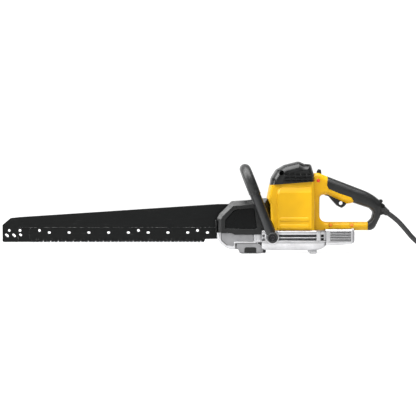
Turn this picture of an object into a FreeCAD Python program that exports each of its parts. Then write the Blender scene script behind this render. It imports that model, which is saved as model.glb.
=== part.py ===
import FreeCAD, Part
import math
import os

# Twin-blade masonry reciprocating saw, in millimetres.
# Origin: middle of the front shoe's sole. +X runs from the bar towards the rear handle, +Z is up.
# The left side of the saw is -Y. The motor and crank axes are vertical.

V = FreeCAD.Vector

# ---------------------------------------------------------------- driving dimensions
CUT_LENGTH = 430.0            # bar beyond the guard, the saw's nominal size
GUARD_FRONT = -68.4           # front edge of the guard, where the cut length starts
BAR_TIP = GUARD_FRONT - CUT_LENGTH
STROKE = 40.0                 # full stroke of each blade
MOTOR_X = 79.0                # motor axis
MODULE = 1.4                  # gear module
PINION_TEETH = 10
CRANK_TEETH = 40
CRANK_X = MOTOR_X + MODULE * (PINION_TEETH + CRANK_TEETH) / 2
THROW = STROKE / 2            # eccentricity of the crank pins
SLIDE_GAP = 0.2               # air between sliding flat faces
PART_GAP = 0.4                # air round buttons and triggers

BAR_CORE = 1.2                # half thickness of the bar between the blades
BAR_FULL = 3.0                # half thickness of the bar above the blades
BLADE_IN = BAR_CORE + SLIDE_GAP
BLADE_OUT = BAR_FULL
BLADE_TOP = 50.6
BLADE_FRONT = -445.0
BLADE_REAR = 6.0
TOOTH_ROOT = 27.6
TOOTH_TIP = 20.8
TOOTH_PITCH = 15.0
TEETH = 23
FIRST_TOOTH = 9.0              # from the blade's front end to its first tooth
RIGHT_SHIFT = TOOTH_PITCH / 2  # the right blade's teeth stand between the left blade's

CASE_FRONT = 7.0
CASE_REAR = 151.0
CASE_HALF = 45.0
CASE_FLOOR = 7.4
BOWL_FLOOR = 11.2
PLATE_LOW = 22.6              # the gear plate is clamped between the two case halves
PLATE_HIGH = 26.6
CASE_TOP = 46.4
DECK_LOW = 40.4               # underside of the deck that the motor stands on

CASTING_FRONT = -71.0
CASTING_HALF = 26.0
BELLY_HALF = 20.4             # the belly that hangs between the shoe's cheeks
CHANNEL_HALF = 16.0
GUARD_HALF = 28.0
SHOE_HALF = 27.0
SHOE_PIN = (23.4, 5.0)

MOTOR_HALF = 46.0
MOTOR_WALL = 3.4
HANDLE_HALF = 17.0
HANDLE_WALL = 3.6
LOWER_BAR_HALF = 14.0
TRIGGER_PIN = (147.5, 120.6)

BAIL_EYE = (38.4, 33.4)
BAIL_TOP = (-14.0, 167.2)
BAIL_HALF = 58.0              # Y of each leg's centre line
BAIL_TUBE = 9.4
BAIL_SLEEVE = 10.3
BAIL_BEND = 30.0

CORD_RADIUS = 5.0
CORD_START = (258.0, 0.0, 88.1)
BOOT_LENGTH = 16.0
CORD_SLOPE = math.radians(-34.0)
CORD_ROUTE = [(286.2, 0.0, 69.1), (303.9, -0.6, 50.1), (321.5, -2.2, 28.3), (340.6, -4.6, 13.6),
              (365.8, -7.0, 7.2), (393.0, -8.7, 6.3)]
COIL_CENTRE = (445.0, 66.0)
COIL_COLUMNS = 5
COIL_LAYERS = 2
COIL_INNER_TURN = 35.0
COIL_BASE = 1.2
PLUG_START = 92.0              # Y where the plug's sleeve leaves the coil


# ---------------------------------------------------------------- helpers
def closed_wire(corners, radii):
    """Closed wire through corner points, each rounded by its own radius."""
    ends = []
    edges = []
    count = len(corners)
    for i in range(count):
        here = corners[i]
        back = (corners[i - 1] - here).normalize()
        ahead = (corners[(i + 1) % count] - here).normalize()
        if radii[i] == 0:
            ends.append((here, here))
            continue
        half = back.getAngle(ahead) / 2
        reach = radii[i] / math.tan(half)
        start = here + back * reach
        stop = here + ahead * reach
        inward = (back + ahead).normalize()
        middle = here + inward * (radii[i] / math.sin(half) - radii[i])
        edges.append(Part.Arc(start, middle, stop).toShape())
        ends.append((start, stop))
    for i in range(count):
        start = ends[i][1]
        stop = ends[(i + 1) % count][0]
        if start.distanceToPoint(stop) > 1e-4:
            edges.append(Part.LineSegment(start, stop).toShape())
    return Part.Wire(Part.__sortEdges__(edges))


def side(points, y_low, y_high):
    """Prism across the saw. Each point is (x, z) or (x, z, corner radius)."""
    corners = [V(p[0], y_low, p[1]) for p in points]
    radii = [p[2] if len(p) > 2 else 0 for p in points]
    return Part.Face(closed_wire(corners, radii)).extrude(V(0, y_high - y_low, 0))


def plan(points, z_low, z_high):
    """Upright prism. Each point is (x, y) or (x, y, corner radius)."""
    corners = [V(p[0], p[1], z_low) for p in points]
    radii = [p[2] if len(p) > 2 else 0 for p in points]
    return Part.Face(closed_wire(corners, radii)).extrude(V(0, 0, z_high - z_low))


def front(points, x_low, x_high):
    """Prism along the saw. Each point is (y, z) or (y, z, corner radius)."""
    corners = [V(x_low, p[0], p[1]) for p in points]
    radii = [p[2] if len(p) > 2 else 0 for p in points]
    return Part.Face(closed_wire(corners, radii)).extrude(V(x_high - x_low, 0, 0))


def box(x, y, z):
    """Box between the two values of each pair."""
    return Part.makeBox(x[1] - x[0], y[1] - y[0], z[1] - z[0], V(x[0], y[0], z[0]))


def across(radius, x, z, y_low, y_high):
    """Cylinder along Y."""
    return Part.makeCylinder(radius, y_high - y_low, V(x, y_low, z), V(0, 1, 0))


def upright(radius, x, y, z_low, z_high):
    """Cylinder along Z."""
    return Part.makeCylinder(radius, z_high - z_low, V(x, y, z_low))


def tube(outer, inner, x, y, z_low, z_high):
    """Upright ring."""
    return upright(outer, x, y, z_low, z_high).cut(upright(inner, x, y, z_low, z_high))


def join(shapes):
    """One solid from shapes that touch or overlap."""
    whole = shapes[0]
    for shape in shapes[1:]:
        whole = whole.fuse(shape)
    return whole.removeSplitter()


def mirrored(shape):
    """The same shape on the other side of the saw."""
    return shape.mirror(V(0, 0, 0), V(0, 1, 0))


def both_sides(shape):
    """A shape and its mirror image, as separate solids."""
    return Part.makeCompound([shape, mirrored(shape)])


def slot_hole(x, z, length, height, y_low, y_high):
    """Rounded through slot, to be cut out."""
    half = length / 2
    corner = height / 2 - 0.01
    points = [(x - half, z - height / 2, corner), (x + half, z - height / 2, corner),
              (x + half, z + height / 2, corner), (x - half, z + height / 2, corner)]
    return side(points, y_low, y_high)


def rounded_rim(shape, radius, y):
    """Round the edges that lie wholly in the plane Y = y."""
    rim = [e for e in shape.Edges if abs(e.BoundBox.YMin - y) < 1e-4 and abs(e.BoundBox.YMax - y) < 1e-4]
    return shape.makeFillet(radius, rim)


def save(name, shape):
    """Write one node."""
    shape.exportStep("parts/" + name + ".step")


# ---------------------------------------------------------------- guide bar and blades
SLOT_X = [-405.0 + 39.5 * i for i in range(9)]
SLOT_Z = 40.6
ROUND_X = [-424.6, -227.0, -109.0]
ROUND_Z = 44.8
ROUND_RADIUS = 2.7
CLAMP_HOLES = [(-34.0, 80.0), (6.0, 80.0)]
CLAMP_RADIUS = 3.0


def strip_holes(y_low, y_high):
    """The holes that line up through the bar and both blades at rest."""
    slots = [slot_hole(x, SLOT_Z, 6.2, 4.4, y_low, y_high) for x in SLOT_X]
    rounds = [across(ROUND_RADIUS, x, ROUND_Z, y_low, y_high) for x in ROUND_X]
    return Part.makeCompound(slots + rounds)


def guide_bar():
    """Fixed black bar: a thin core between the blades, full thickness above and at the nose."""
    outline = [(BAR_TIP, 21.6, 3), (BAR_TIP, 55.8, 3), (-482.0, 69.6, 4), (-464.0, 71.6, 30),
               (GUARD_FRONT, 97.6), (14.0, 97.6, 4), (14.0, 30.0, 4), (-424.0, 30.0, 3), (-432.0, 21.6, 3)]
    core = side(outline, -BAR_CORE, BAR_CORE)
    upper = [(BAR_TIP, 21.6, 3), (BAR_TIP, 55.8, 3), (-482.0, 69.6, 4), (-464.0, 71.6, 30),
             (GUARD_FRONT, 97.6), (14.0, 97.6, 4), (14.0, BLADE_TOP + 0.4), (-467.0, BLADE_TOP + 0.4, 4),
             (-467.0, 21.6, 2)]
    bar = core.fuse(side(upper, -BAR_FULL, BAR_FULL))
    bar = bar.cut(strip_holes(-BAR_FULL, BAR_FULL))
    for x in (-485.0, -463.6):
        bar = bar.cut(across(ROUND_RADIUS, x, ROUND_Z, -BAR_FULL, BAR_FULL))
    for x, z, length, height in ((-489.6, 35.0, 8.4, 4.8), (-475.4, 35.0, 8.4, 4.8), (-462.4, 36.0, 6.2, 4.0)):
        slanted = slot_hole(x, z, length, height, -BAR_FULL, BAR_FULL)
        slanted.rotate(V(x, 0, z), V(0, 1, 0), 40)
        bar = bar.cut(slanted)
    for x, z in CLAMP_HOLES:
        bar = bar.cut(across(CLAMP_RADIUS, x, z, -BAR_FULL, BAR_FULL))
    return bar.removeSplitter()


def blade_strip(shift):
    """Left blade: a strip with a toothed lower edge, hung on the drive bar's stud at the rear."""
    points = [(BLADE_REAR, TOOTH_ROOT + 2), (BLADE_REAR, BLADE_TOP), (BLADE_FRONT, BLADE_TOP, 6),
              (BLADE_FRONT, TOOTH_ROOT, 2)]
    for i in range(TEETH):
        x = tooth_x(i, shift)
        points += [(x - 4.6, TOOTH_ROOT), (x - 3.4, TOOTH_TIP + 2.0), (x + 3.2, TOOTH_TIP + 2.0),
                   (x + 5.4, TOOTH_ROOT)]
    points.append((tooth_x(TEETH, shift) - 4.6, TOOTH_ROOT))
    strip = side(points, -BLADE_OUT, -BLADE_IN)
    strip = strip.cut(strip_holes(-BLADE_OUT, -BLADE_IN))
    return strip


def tooth_x(index, shift):
    """Where a tooth stands along the blade."""
    return BLADE_FRONT + FIRST_TOOTH + TOOTH_PITCH * index + shift


def blade_tips(shift):
    """Carbide tips brazed on the teeth, a little wider than the strip."""
    tips = []
    for i in range(TEETH):
        x = tooth_x(i, shift)
        points = [(x - 3.6, TOOTH_TIP), (x + 3.2, TOOTH_TIP), (x + 3.2, TOOTH_TIP + 2.0),
                  (x - 3.4, TOOTH_TIP + 2.0)]
        tips.append(side(points, -BLADE_OUT - 0.5, -BLADE_IN))
    return Part.makeCompound(tips)


# ---------------------------------------------------------------- crank drive
STUD_X = -2.0
STUD_RADIUS = 3.6
UPPER_BAR = (35.0, 39.5)
LOWER_BAR = (16.6, 20.6)
STUD_Z = 35.8
HEAD_TOP = 40.0
STEM_NEAR = 6.5
STEM_FAR = 14.0
YOKE_HALF = 29.0
YOKE_REACH = 7.5
PIN_RADIUS = 4.0


def yoke_bar(level, head_low, head_high):
    """Scotch yoke, stem and blade head in one piece, on the left side of the saw."""
    low, high = level
    yoke = plan([(CRANK_X - YOKE_REACH, -YOKE_HALF, 3), (CRANK_X + YOKE_REACH, -YOKE_HALF, 3),
                 (CRANK_X + YOKE_REACH, YOKE_HALF, 3), (CRANK_X - YOKE_REACH, YOKE_HALF, 3)], low, high)
    slot_half = THROW + PIN_RADIUS + 0.4
    slot_wide = PIN_RADIUS + 0.1
    yoke = yoke.cut(plan([(CRANK_X - slot_wide, -slot_half, 4), (CRANK_X + slot_wide, -slot_half, 4),
                          (CRANK_X + slot_wide, slot_half, 4), (CRANK_X - slot_wide, slot_half, 4)],
                         low, high))
    stem = box((10.0, CRANK_X - YOKE_REACH + 1), (-STEM_FAR, -STEM_NEAR), (low, high))
    head = box((-10.0, 12.0), (-STEM_FAR, -BLADE_OUT - 0.2), (head_low, head_high))
    stud = across(STUD_RADIUS, STUD_X, STUD_Z, -BLADE_OUT - 0.2, -BLADE_IN)
    return join([yoke, stem, head, stud])


def gear_outline(teeth, phase, centre_x):
    """Closed outline of a spur gear, from the tooth flank's width at root, pitch and tip."""
    pitch_radius = MODULE * teeth / 2
    step = 2 * math.pi / teeth
    flank = [(pitch_radius - 1.25 * MODULE, 0.29), (pitch_radius, 0.225),
             (pitch_radius + 0.55 * MODULE, 0.16),
             (pitch_radius + 0.9 * MODULE, 0.09)]
    sides = [(radius, -share) for radius, share in flank]
    sides += [(radius, share) for radius, share in flank[::-1]]
    points = []
    for i in range(teeth):
        for radius, share in sides:
            angle = phase + step * (i + share)
            points.append((centre_x + radius * math.cos(angle), radius * math.sin(angle)))
    return points


RACE_RADIUS = 22.9
RACE_OUTER = 27.0
TEETH_LOW = PLATE_HIGH + 0.4
TEETH_HIGH = TEETH_LOW + 5.0


def crank_gear():
    """Crank disc in its ring bearing, with a pin on each face half a turn apart."""
    disc = upright(RACE_RADIUS, CRANK_X, 0, PLATE_LOW - 0.6, TEETH_LOW)
    rim = plan(gear_outline(CRANK_TEETH, 0, CRANK_X), TEETH_LOW, TEETH_HIGH)
    upper_pin = upright(PIN_RADIUS, CRANK_X, THROW, TEETH_HIGH, UPPER_BAR[0] - 0.3)
    lower_pin = upright(PIN_RADIUS, CRANK_X, -THROW, LOWER_BAR[1] + 0.3, PLATE_LOW - 0.6)
    gear = join([disc, rim, upper_pin, lower_pin])
    return gear.cut(upright(5, CRANK_X, 0, 0, 60))


def crank_bearing():
    """Thin ring bearing that carries the crank disc in the gear plate."""
    return tube(RACE_OUTER, RACE_RADIUS + 0.05, CRANK_X, 0, PLATE_LOW, PLATE_HIGH)


def slide_guides():
    """Two bronze guides, one round each stem."""
    guides = []
    for level, sign, reach in ((UPPER_BAR, -1, (33.7, DECK_LOW)), (LOWER_BAR, 1, (BOWL_FLOOR, PLATE_LOW))):
        near = sign * 4.5
        far = sign * 17.5
        block = box((36.0, 48.0), (min(near, far), max(near, far)), reach)
        hole_near = sign * (STEM_NEAR - SLIDE_GAP / 2)
        hole_far = sign * (STEM_FAR + SLIDE_GAP / 2)
        hole = box((36.0, 48.0), (min(hole_near, hole_far), max(hole_near, hole_far)),
                   (level[0] - SLIDE_GAP / 2, level[1] + SLIDE_GAP / 2))
        guides.append(block.cut(hole))
    return Part.makeCompound(guides)


# ---------------------------------------------------------------- motor
SHAFT_RADIUS = 5.0
JOURNAL_RADIUS = 4.0
BRIDGE_LOW = 150.0


def armature_shaft():
    """Shaft with the pinion cut on its lower end."""
    journal = upright(JOURNAL_RADIUS, MOTOR_X, 0, PLATE_LOW + 0.4, TEETH_LOW)
    pinion = plan(gear_outline(PINION_TEETH, math.pi / PINION_TEETH, MOTOR_X), TEETH_LOW, TEETH_HIGH)
    shaft = upright(SHAFT_RADIUS, MOTOR_X, 0, TEETH_HIGH, BRIDGE_LOW + 12)
    return join([journal, pinion, shaft])


def cooling_fan():
    """Fan below the stator: a back plate, a hub and curved-off blades."""
    hub = upright(9, MOTOR_X, 0, 50, 61)
    disc = upright(36, MOTOR_X, 0, 59, 61)
    blades = []
    for i in range(11):
        blade = box((MOTOR_X + 8, MOTOR_X + 35), (-0.8, 0.8), (50, 59))
        blade.rotate(V(MOTOR_X + 8, 0, 0), V(0, 0, 1), 25)
        blade.rotate(V(MOTOR_X, 0, 0), V(0, 0, 1), 360 / 11 * i)
        blades.append(blade.common(upright(35.6, MOTOR_X, 0, 50, 59)))
    return join([hub, disc] + blades).cut(upright(SHAFT_RADIUS, MOTOR_X, 0, 50, 61))


def bearing_bridge():
    """Bridge over the commutator that holds the upper bearing and both brush holders."""
    beam = box((MOTOR_X - 11, MOTOR_X + 11), (-41.4, 41.4), (BRIDGE_LOW - 4, BRIDGE_LOW))
    boss = upright(13, MOTOR_X, 0, BRIDGE_LOW - 4, BRIDGE_LOW + 8)
    legs = [box((MOTOR_X - 8, MOTOR_X + 8), (y, y + 3.4), (122, BRIDGE_LOW - 4)) for y in (-41.4, 38)]
    return join([beam, boss] + legs).cut(upright(9, MOTOR_X, 0, BRIDGE_LOW - 4, BRIDGE_LOW + 8))


def brush_holder():
    """Left brush holder, a square tube towards the commutator."""
    outer = box((MOTOR_X - 7, MOTOR_X + 7), (-38, -16), (128, 146))
    return outer.cut(box((MOTOR_X - 4, MOTOR_X + 4), (-38, -16), (132, 140)))


def carbon_brush():
    """Left carbon brush, bearing on the commutator with a hair of air."""
    block = box((MOTOR_X - 3.9, MOTOR_X + 3.9), (-30, -13), (132.1, 139.9))
    return block.cut(upright(14.3, MOTOR_X, 0, 130, 142))


CAP_POSTS = [(57.6, 33.0, 152.0), (107.4, 33.0, 168.0)]


def motor_profile():
    """Side view of the motor housing."""
    return [(35.4, 136.0), (30.2, 109.0, 4), (35.4, 97.6, 4), (36.4, 70.0, 12), (45.0, 46.6), (122.4, 46.6),
            (122.4, 142.8)]


def motor_housing():
    """Yellow motor housing, open at the top, with a raised panel and two ribs on each side."""
    outer_plan = [(26, -MOTOR_HALF, 22), (122.4, -MOTOR_HALF, 10), (122.4, MOTOR_HALF, 10),
                  (26, MOTOR_HALF, 22)]
    body = side(motor_profile(), -MOTOR_HALF, MOTOR_HALF).common(plan(outer_plan, 40, 150))
    room = plan([(39.6, -MOTOR_HALF + MOTOR_WALL, 18), (119.0, -MOTOR_HALF + MOTOR_WALL, 8),
                 (119.0, MOTOR_HALF - MOTOR_WALL, 8), (39.6, MOTOR_HALF - MOTOR_WALL, 18)], 49.4, 150)
    shell = body.cut(room)
    posts = [upright(5.5, x, y, 126, 150).common(body) for x, y_abs, _ in CAP_POSTS for y in (-y_abs, y_abs)]
    for x, y_abs, _ in CAP_POSTS:
        web = box((x - 2, x + 2), (-MOTOR_HALF + 1, 4 - y_abs), (126, 150)).common(body)
        posts += [web, mirrored(web)]
    panel = [(48, 51, 4), (48, 124, 9), (57, 131, 5), (116, 131, 4), (116, 51, 4)]
    ribs = [[(52, low, 3.8), (110, low, 3.8), (110, low + 7.8, 3.8), (52, low + 7.8, 3.8)]
            for low in (50.9, 64.9)]
    left = [side(panel, -MOTOR_HALF - 1.0, -MOTOR_HALF + 1)]
    left += [side(rib, -MOTOR_HALF - 2.2, -MOTOR_HALF + 1) for rib in ribs]
    shell = join([shell] + posts + left + [mirrored(piece) for piece in left])
    shell = shell.cut(upright(SHAFT_RADIUS + 1, MOTOR_X, 0, 40, 50))
    for x, y_abs, _ in CAP_POSTS:
        for y in (-y_abs, y_abs):
            shell = shell.cut(upright(2.0, x, y, 128, 150))
    return shell


def cap_profile(inset):
    """Side view of the motor cap, drawn in by a wall thickness and open below."""
    return [(35.4 + inset, 136.2 - 3 * inset), (37.6 + inset, 150, 20), (47.5, 166.0 - inset, 14),
            (64.0, 175.6 - inset, 20), (92.0, 182.8 - inset, 6), (103.0, 177.8 - inset, 3),
            (116.0 - inset, 177.2 - inset, 3), (121.4 - inset, 158.0, 8), (122.2 - inset, 143.0 - 3 * inset)]


def cap_body(inset, z_low):
    """The cap's form: its side view, rounded in plan and over the top."""
    half = MOTOR_HALF - inset
    outer_plan = [(30 + inset, -half, 26), (122.4 - inset, -half, 14), (122.4 - inset, half, 14),
                  (30 + inset, half, 26)]
    ends = [(-half, z_low), (half, z_low), (half, 168 - inset, 14), (half - 20, 184 - inset, 22),
            (20 - half, 184 - inset, 22), (-half, 168 - inset, 14)]
    body = side(cap_profile(inset), -half, half)
    return body.common(plan(outer_plan, z_low, 190)).common(front(ends, 30, 130))


def motor_cap():
    """Black vented cap over the commutator end, with four sunk screws."""
    outer = cap_body(0, 130)
    room = cap_body(3.2, 120)
    posts = [upright(6.5, x, y, 130, 190).common(outer) for x, y_abs, _ in CAP_POSTS for y in (-y_abs, y_abs)]
    cap = join([outer.cut(room)] + posts)
    for row in range(3):
        for i in range(5):
            x = 69.0 + 10.5 * i - 1.2 * row
            z = 147.0 + 5.6 * row
            cap = cap.cut(slot_hole(x, z, 7.6, 3.0, -60, -38))
            cap = cap.cut(slot_hole(x, z, 7.6, 3.0, 38, 60))
    for x, y_abs, head_low in CAP_POSTS:
        for y in (-y_abs, y_abs):
            cap = cap.cut(upright(4.2, x, y, head_low, 190))
            cap = cap.cut(upright(2.0, x, y, 130, 190))
    return cap


def cap_screws():
    """Four screws that hold the cap to the motor housing."""
    screws = []
    for x, y_abs, head_low in CAP_POSTS:
        for y in (-y_abs, y_abs):
            screw = upright(3.9, x, y, head_low, head_low + 3).fuse(upright(1.95, x, y, 129, head_low))
            screws.append(screw.cut(upright(1.6, x, y, head_low + 1.4, head_low + 3)))
    return Part.makeCompound(screws)


# ---------------------------------------------------------------- gear case
CASE_SCREWS = [(58.0, 37.0), (134.0, 37.0)]
BOSS_X = 129.6


def case_plan(inset):
    """Plan view of the gear case."""
    half = CASE_HALF - inset
    return [(CASE_FRONT + inset, -half, 10), (CASE_REAR - inset, -half, 30 - inset),
            (CASE_REAR - inset, half, 30 - inset), (CASE_FRONT + inset, half, 10)]


def case_columns(z_low, z_high):
    """Screw columns inside the case."""
    return [upright(5.6, x, y, z_low, z_high) for x, y_abs in CASE_SCREWS for y in (-y_abs, y_abs)]


BLADE_END_ROOM = box((17.0, 30.0), (-3.8, 3.8), (DECK_LOW - 1, 50.8))   # the blades' rear ends run in here


def neck_trim(z_low, z_high):
    """What is cut off the case's front to leave a narrow neck that carries on the front casting."""
    left = box((CASE_FRONT - 1, 18.0), (-CASE_HALF - 1, -CASTING_HALF), (z_low, z_high))
    return left.fuse(mirrored(left))


def gear_case_upper():
    """Upper half of the gear case with the deck under the motor and the side grooves."""
    body = plan(case_plan(0), PLATE_HIGH, CASE_TOP)
    room = plan([(22, -CASE_HALF + 4, 6), (CASE_REAR - 4, -CASE_HALF + 4, 26), (CASE_REAR - 4, CASE_HALF - 4, 26),
                 (22, CASE_HALF - 4, 6)], PLATE_HIGH, DECK_LOW)
    mouth = box((CASE_FRONT - 1, 24), (-CHANNEL_HALF, CHANNEL_HALF), (PLATE_HIGH, DECK_LOW))
    step = box((CASE_FRONT - 1, 18.0), (-CASE_HALF - 1, CASE_HALF + 1), (38.0, CASE_TOP + 1))
    open_neck = box((CASE_FRONT - 1, 18.0), (-CHANNEL_HALF, CHANNEL_HALF), (PLATE_HIGH, CASE_TOP))
    case = join([body.cut(room)] + case_columns(PLATE_HIGH, DECK_LOW))
    case = case.cut(mouth).cut(step).cut(open_neck).cut(neck_trim(PLATE_HIGH - 1, CASE_TOP + 1))
    for z in (28.0, 34.6):
        groove = box((50, 125), (-CASE_HALF - 1, -CASE_HALF + 2.4), (z, z + 2.4))
        case = case.cut(groove).cut(mirrored(groove))
    eye_boss = across(10.7, BAIL_EYE[0], BAIL_EYE[1], -CASE_HALF - 2.0, -CASE_HALF + 3)
    eye_boss = eye_boss.common(box((0, 80), (-60, 0), (PLATE_HIGH, CASE_TOP)))
    rear_boss = box((BOSS_X - 5, BOSS_X + 5), (-CASE_HALF - 1.0, -CASE_HALF + 4), (PLATE_HIGH, CASE_TOP))
    rear_boss = rear_boss.common(box((100, 140), (-60, 0), (PLATE_HIGH, CASE_TOP)))
    case = join([case, eye_boss, mirrored(eye_boss), rear_boss, mirrored(rear_boss)])
    for x, y_abs in CASE_SCREWS:
        for y in (-y_abs, y_abs):
            case = case.cut(upright(2.5, x, y, PLATE_HIGH, 38))
    bolt = across(4.0, BAIL_EYE[0], BAIL_EYE[1], -60, -38)
    case = case.cut(bolt).cut(mirrored(bolt))
    return case.cut(BLADE_END_ROOM).cut(upright(11.0, MOTOR_X, 0, DECK_LOW, CASE_TOP))


def gear_case_lower():
    """Lower half of the gear case: a bowl with hinge lugs for the shoe."""
    profile = [(CASE_FRONT, PLATE_LOW), (CASE_FRONT, 8.0), (30.0, 8.0), (37.0, CASE_FLOOR, 4),
               (130.0, CASE_FLOOR, 10), (145.0, 15.6, 10), (CASE_REAR, PLATE_LOW)]
    body = side(profile, -CASE_HALF, CASE_HALF).common(plan(case_plan(0), 0, PLATE_LOW))
    room = box((CASE_FRONT - 1, 34), (-CHANNEL_HALF, CHANNEL_HALF), (BOWL_FLOOR, PLATE_LOW))
    bowl = box((34, 148), (-CASE_HALF + 4, CASE_HALF - 4), (BOWL_FLOOR, PLATE_LOW))
    inner = [(30, PLATE_LOW), (30, BOWL_FLOOR), (128, BOWL_FLOOR, 8), (141.6, 16.0), (147.0, PLATE_LOW)]
    bowl = bowl.common(side(inner, -50, 50))
    bowl = bowl.common(plan(case_plan(4), 0, 40))
    case = join([body.cut(room.fuse(bowl))] + [c.common(body) for c in case_columns(CASE_FLOOR, PLATE_LOW)])
    cheek_room = box((CASE_FRONT - 1, 31), (-CASE_HALF - 1, -BELLY_HALF), (0, 20.6))
    case = case.cut(cheek_room).cut(mirrored(cheek_room)).cut(neck_trim(0, PLATE_LOW + 1))
    lug = side([(19.6, 9.0), (20.4, 3.6, 2), (23.4, 1.2, 2), (26.6, 3.6, 2), (28.6, 9.0)], -14, -8)
    case = join([case, lug, mirrored(lug)])
    case = case.cut(across(2.8, SHOE_PIN[0], SHOE_PIN[1], -16, 16))
    for x, y_abs in CASE_SCREWS:
        for y in (-y_abs, y_abs):
            case = case.cut(upright(2.5, x, y, 0, PLATE_LOW)).cut(upright(4.6, x, y, 0, 11.4))
    return case


def gear_plate():
    """Plate between the case halves that carries the crank bearing and the pinion's lower end."""
    body = plan([(p[0], p[1] * 1.01, p[2]) for p in case_plan(0)], PLATE_LOW, PLATE_HIGH)
    body = body.cut(neck_trim(0, 60))
    body = body.cut(upright(RACE_OUTER, CRANK_X, 0, 0, 60)).cut(upright(7.0, MOTOR_X, 0, 0, 60))
    body = body.cut(box((CASE_FRONT - 1, 34), (-CHANNEL_HALF, CHANNEL_HALF), (0, 60)))
    for x, y_abs in CASE_SCREWS:
        for y in (-y_abs, y_abs):
            body = body.cut(upright(2.5, x, y, 0, 60))
    return body


def case_screws():
    """Four screws from below through bowl, plate and upper case."""
    screws = []
    for x, y_abs in CASE_SCREWS:
        for y in (-y_abs, y_abs):
            head = upright(4.4, x, y, 7.8, 11.4).cut(upright(2.0, x, y, 7.8, 9.8))
            screws.append(head.fuse(upright(2.5, x, y, 11.4, 37.6)))
    return Part.makeCompound(screws)


def motor_bearings():
    """Ball bearing in the deck and the small sleeve bearing in the gear plate."""
    deck = tube(11.0, SHAFT_RADIUS + 0.02, MOTOR_X, 0, DECK_LOW, CASE_TOP)
    plate = tube(7.0, JOURNAL_RADIUS + 0.03, MOTOR_X, 0, PLATE_LOW, PLATE_HIGH)
    return Part.makeCompound([deck, plate])


def tail_cover():
    """Ribbed alloy cover behind the gear case."""
    profile = [(CASE_REAR, 48.6), (200.0, 48.6, 6), (203.4, 42.0, 5), (203.4, 24.0, 6), (196.0, 18.6, 6),
               (160.0, 15.6), (CASE_REAR, 15.6)]
    outer_plan = [(CASE_REAR, -33), (203.4, -33, 14), (203.4, 33, 14), (CASE_REAR, 33)]
    body = side(profile, -33, 33).common(plan(outer_plan, 0, 60))
    room = box((CASE_REAR, 199.0), (-29.5, 29.5), (19.5, 44.8)).common(
        plan([(CASE_REAR, -29.5), (199.4, -29.5, 11), (199.4, 29.5, 11), (CASE_REAR, 29.5)], 0, 60))
    cover = body.cut(room)
    for i in range(5):
        z = 25.6 + 3.8 * i
        rib_gap = box((153.5, 193.5), (-34, -32.0), (z, z + 1.7))
        cover = cover.cut(rib_gap).cut(mirrored(rib_gap))
    bowl_corner = plan(case_plan(0), 0, PLATE_HIGH)
    return cover.cut(bowl_corner)


def rear_feet():
    """Two round feet under the rear of the bowl."""
    foot = upright(7.6, 120.3, -27, 0, CASE_FLOOR)
    foot = foot.makeFillet(1.6, [e for e in foot.Edges if e.BoundBox.ZMax < 0.01])
    return both_sides(foot)


# ---------------------------------------------------------------- front casting, guard and shoe
def front_casting():
    """Alloy nose casting: blade channel, mouth for the blades and belly between the shoe's cheeks."""
    profile = [(CASTING_FRONT, 41.4, 1.5), (-69.6, 29.0, 8), (-64.4, 20.6, 10), (-54.0, 12.0, 10),
               (-43.4, 8.0, 10), (CASE_FRONT, 8.0), (CASE_FRONT, 38.0), (-35.0, 38.0, 3), (-42.0, 41.4, 3)]
    body = side(profile, -CASTING_HALF, CASTING_HALF)
    channel = box((-62, CASE_FRONT), (-CHANNEL_HALF, CHANNEL_HALF), (11.6, 45))
    mouth = box((-75, -60), (-5, 5), (17.5, 45))
    body = body.cut(channel).cut(mouth)
    cheek_room = box((-34.4, CASE_FRONT), (-CASTING_HALF - 1, -BELLY_HALF), (0, 20.6))
    body = body.cut(cheek_room).cut(mirrored(cheek_room))
    panel = side([(-63, 37.4, 2), (-61, 26, 4), (-50, 16, 5), (-37, 14, 2), (-37, 23.4, 2), (3, 23.4, 2),
                  (3, 35, 2), (-33, 35, 3), (-38, 37.4, 2)], -CASTING_HALF - 1, -CASTING_HALF + 1.2)
    return body.cut(panel).cut(mirrored(panel))


def guard_half():
    """Left half of the black guard, with a recessed pane and the bosses that clamp the bar."""
    outline = [(-70.2, 41.8), (-70.2, 70.0, 6), (-65.0, 79.6, 3), (-41.0, 102.9, 3), (-4.0, 105.6, 20),
               (20.0, 108.8, 14), (29.8, 109.0), (35.0, 97.4, 4), (36.0, 70.0, 12), (44.4, 46.8), (17.8, 46.8),
               (17.8, 38.2), (-35.2, 38.2, 3), (-42.2, 41.6, 3)]
    shell = side(outline, -GUARD_HALF, 0)
    rim = [e for e in shell.Edges if abs(e.BoundBox.YMax + GUARD_HALF) < 1e-4 and on_guard_bevel(e)]
    shell = shell.makeChamfer(2.6, rim)
    room = side([(-66.0, 30.0), (-66.0, 71.0), (-40.0, 98.6), (-4.0, 101.6), (26.0, 104.6), (31.4, 96.0),
                 (32.0, 60.0), (36.0, 50.0), (18.0, 50.0), (18.0, 30.0)], -GUARD_HALF + 3.2, 0)
    mouth = box((-75, -36), (-3.6, 0), (30, 98.4))
    shell = shell.cut(room).cut(mouth).cut(BLADE_END_ROOM)
    pane = side([(-53.4, 50.0, 2), (-53.4, 67.0, 4), (-37.2, 85.4, 5), (-29.6, 87.8, 5), (4.0, 90.2, 5),
                 (8.6, 48.6, 3)], -GUARD_HALF - 1, -GUARD_HALF + 1.4)
    shell = shell.cut(pane)
    bosses = [across(8.0, x, z, -GUARD_HALF + 2, -BAR_FULL) for x, z in CLAMP_HOLES]
    return join([shell] + bosses)


def on_guard_bevel(edge):
    """True for the guard's front and top edges, which carry the bevel."""
    box_of_edge = edge.BoundBox
    return box_of_edge.XMax < 30 and (box_of_edge.XMax < -60 or box_of_edge.ZMin > 75)


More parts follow.
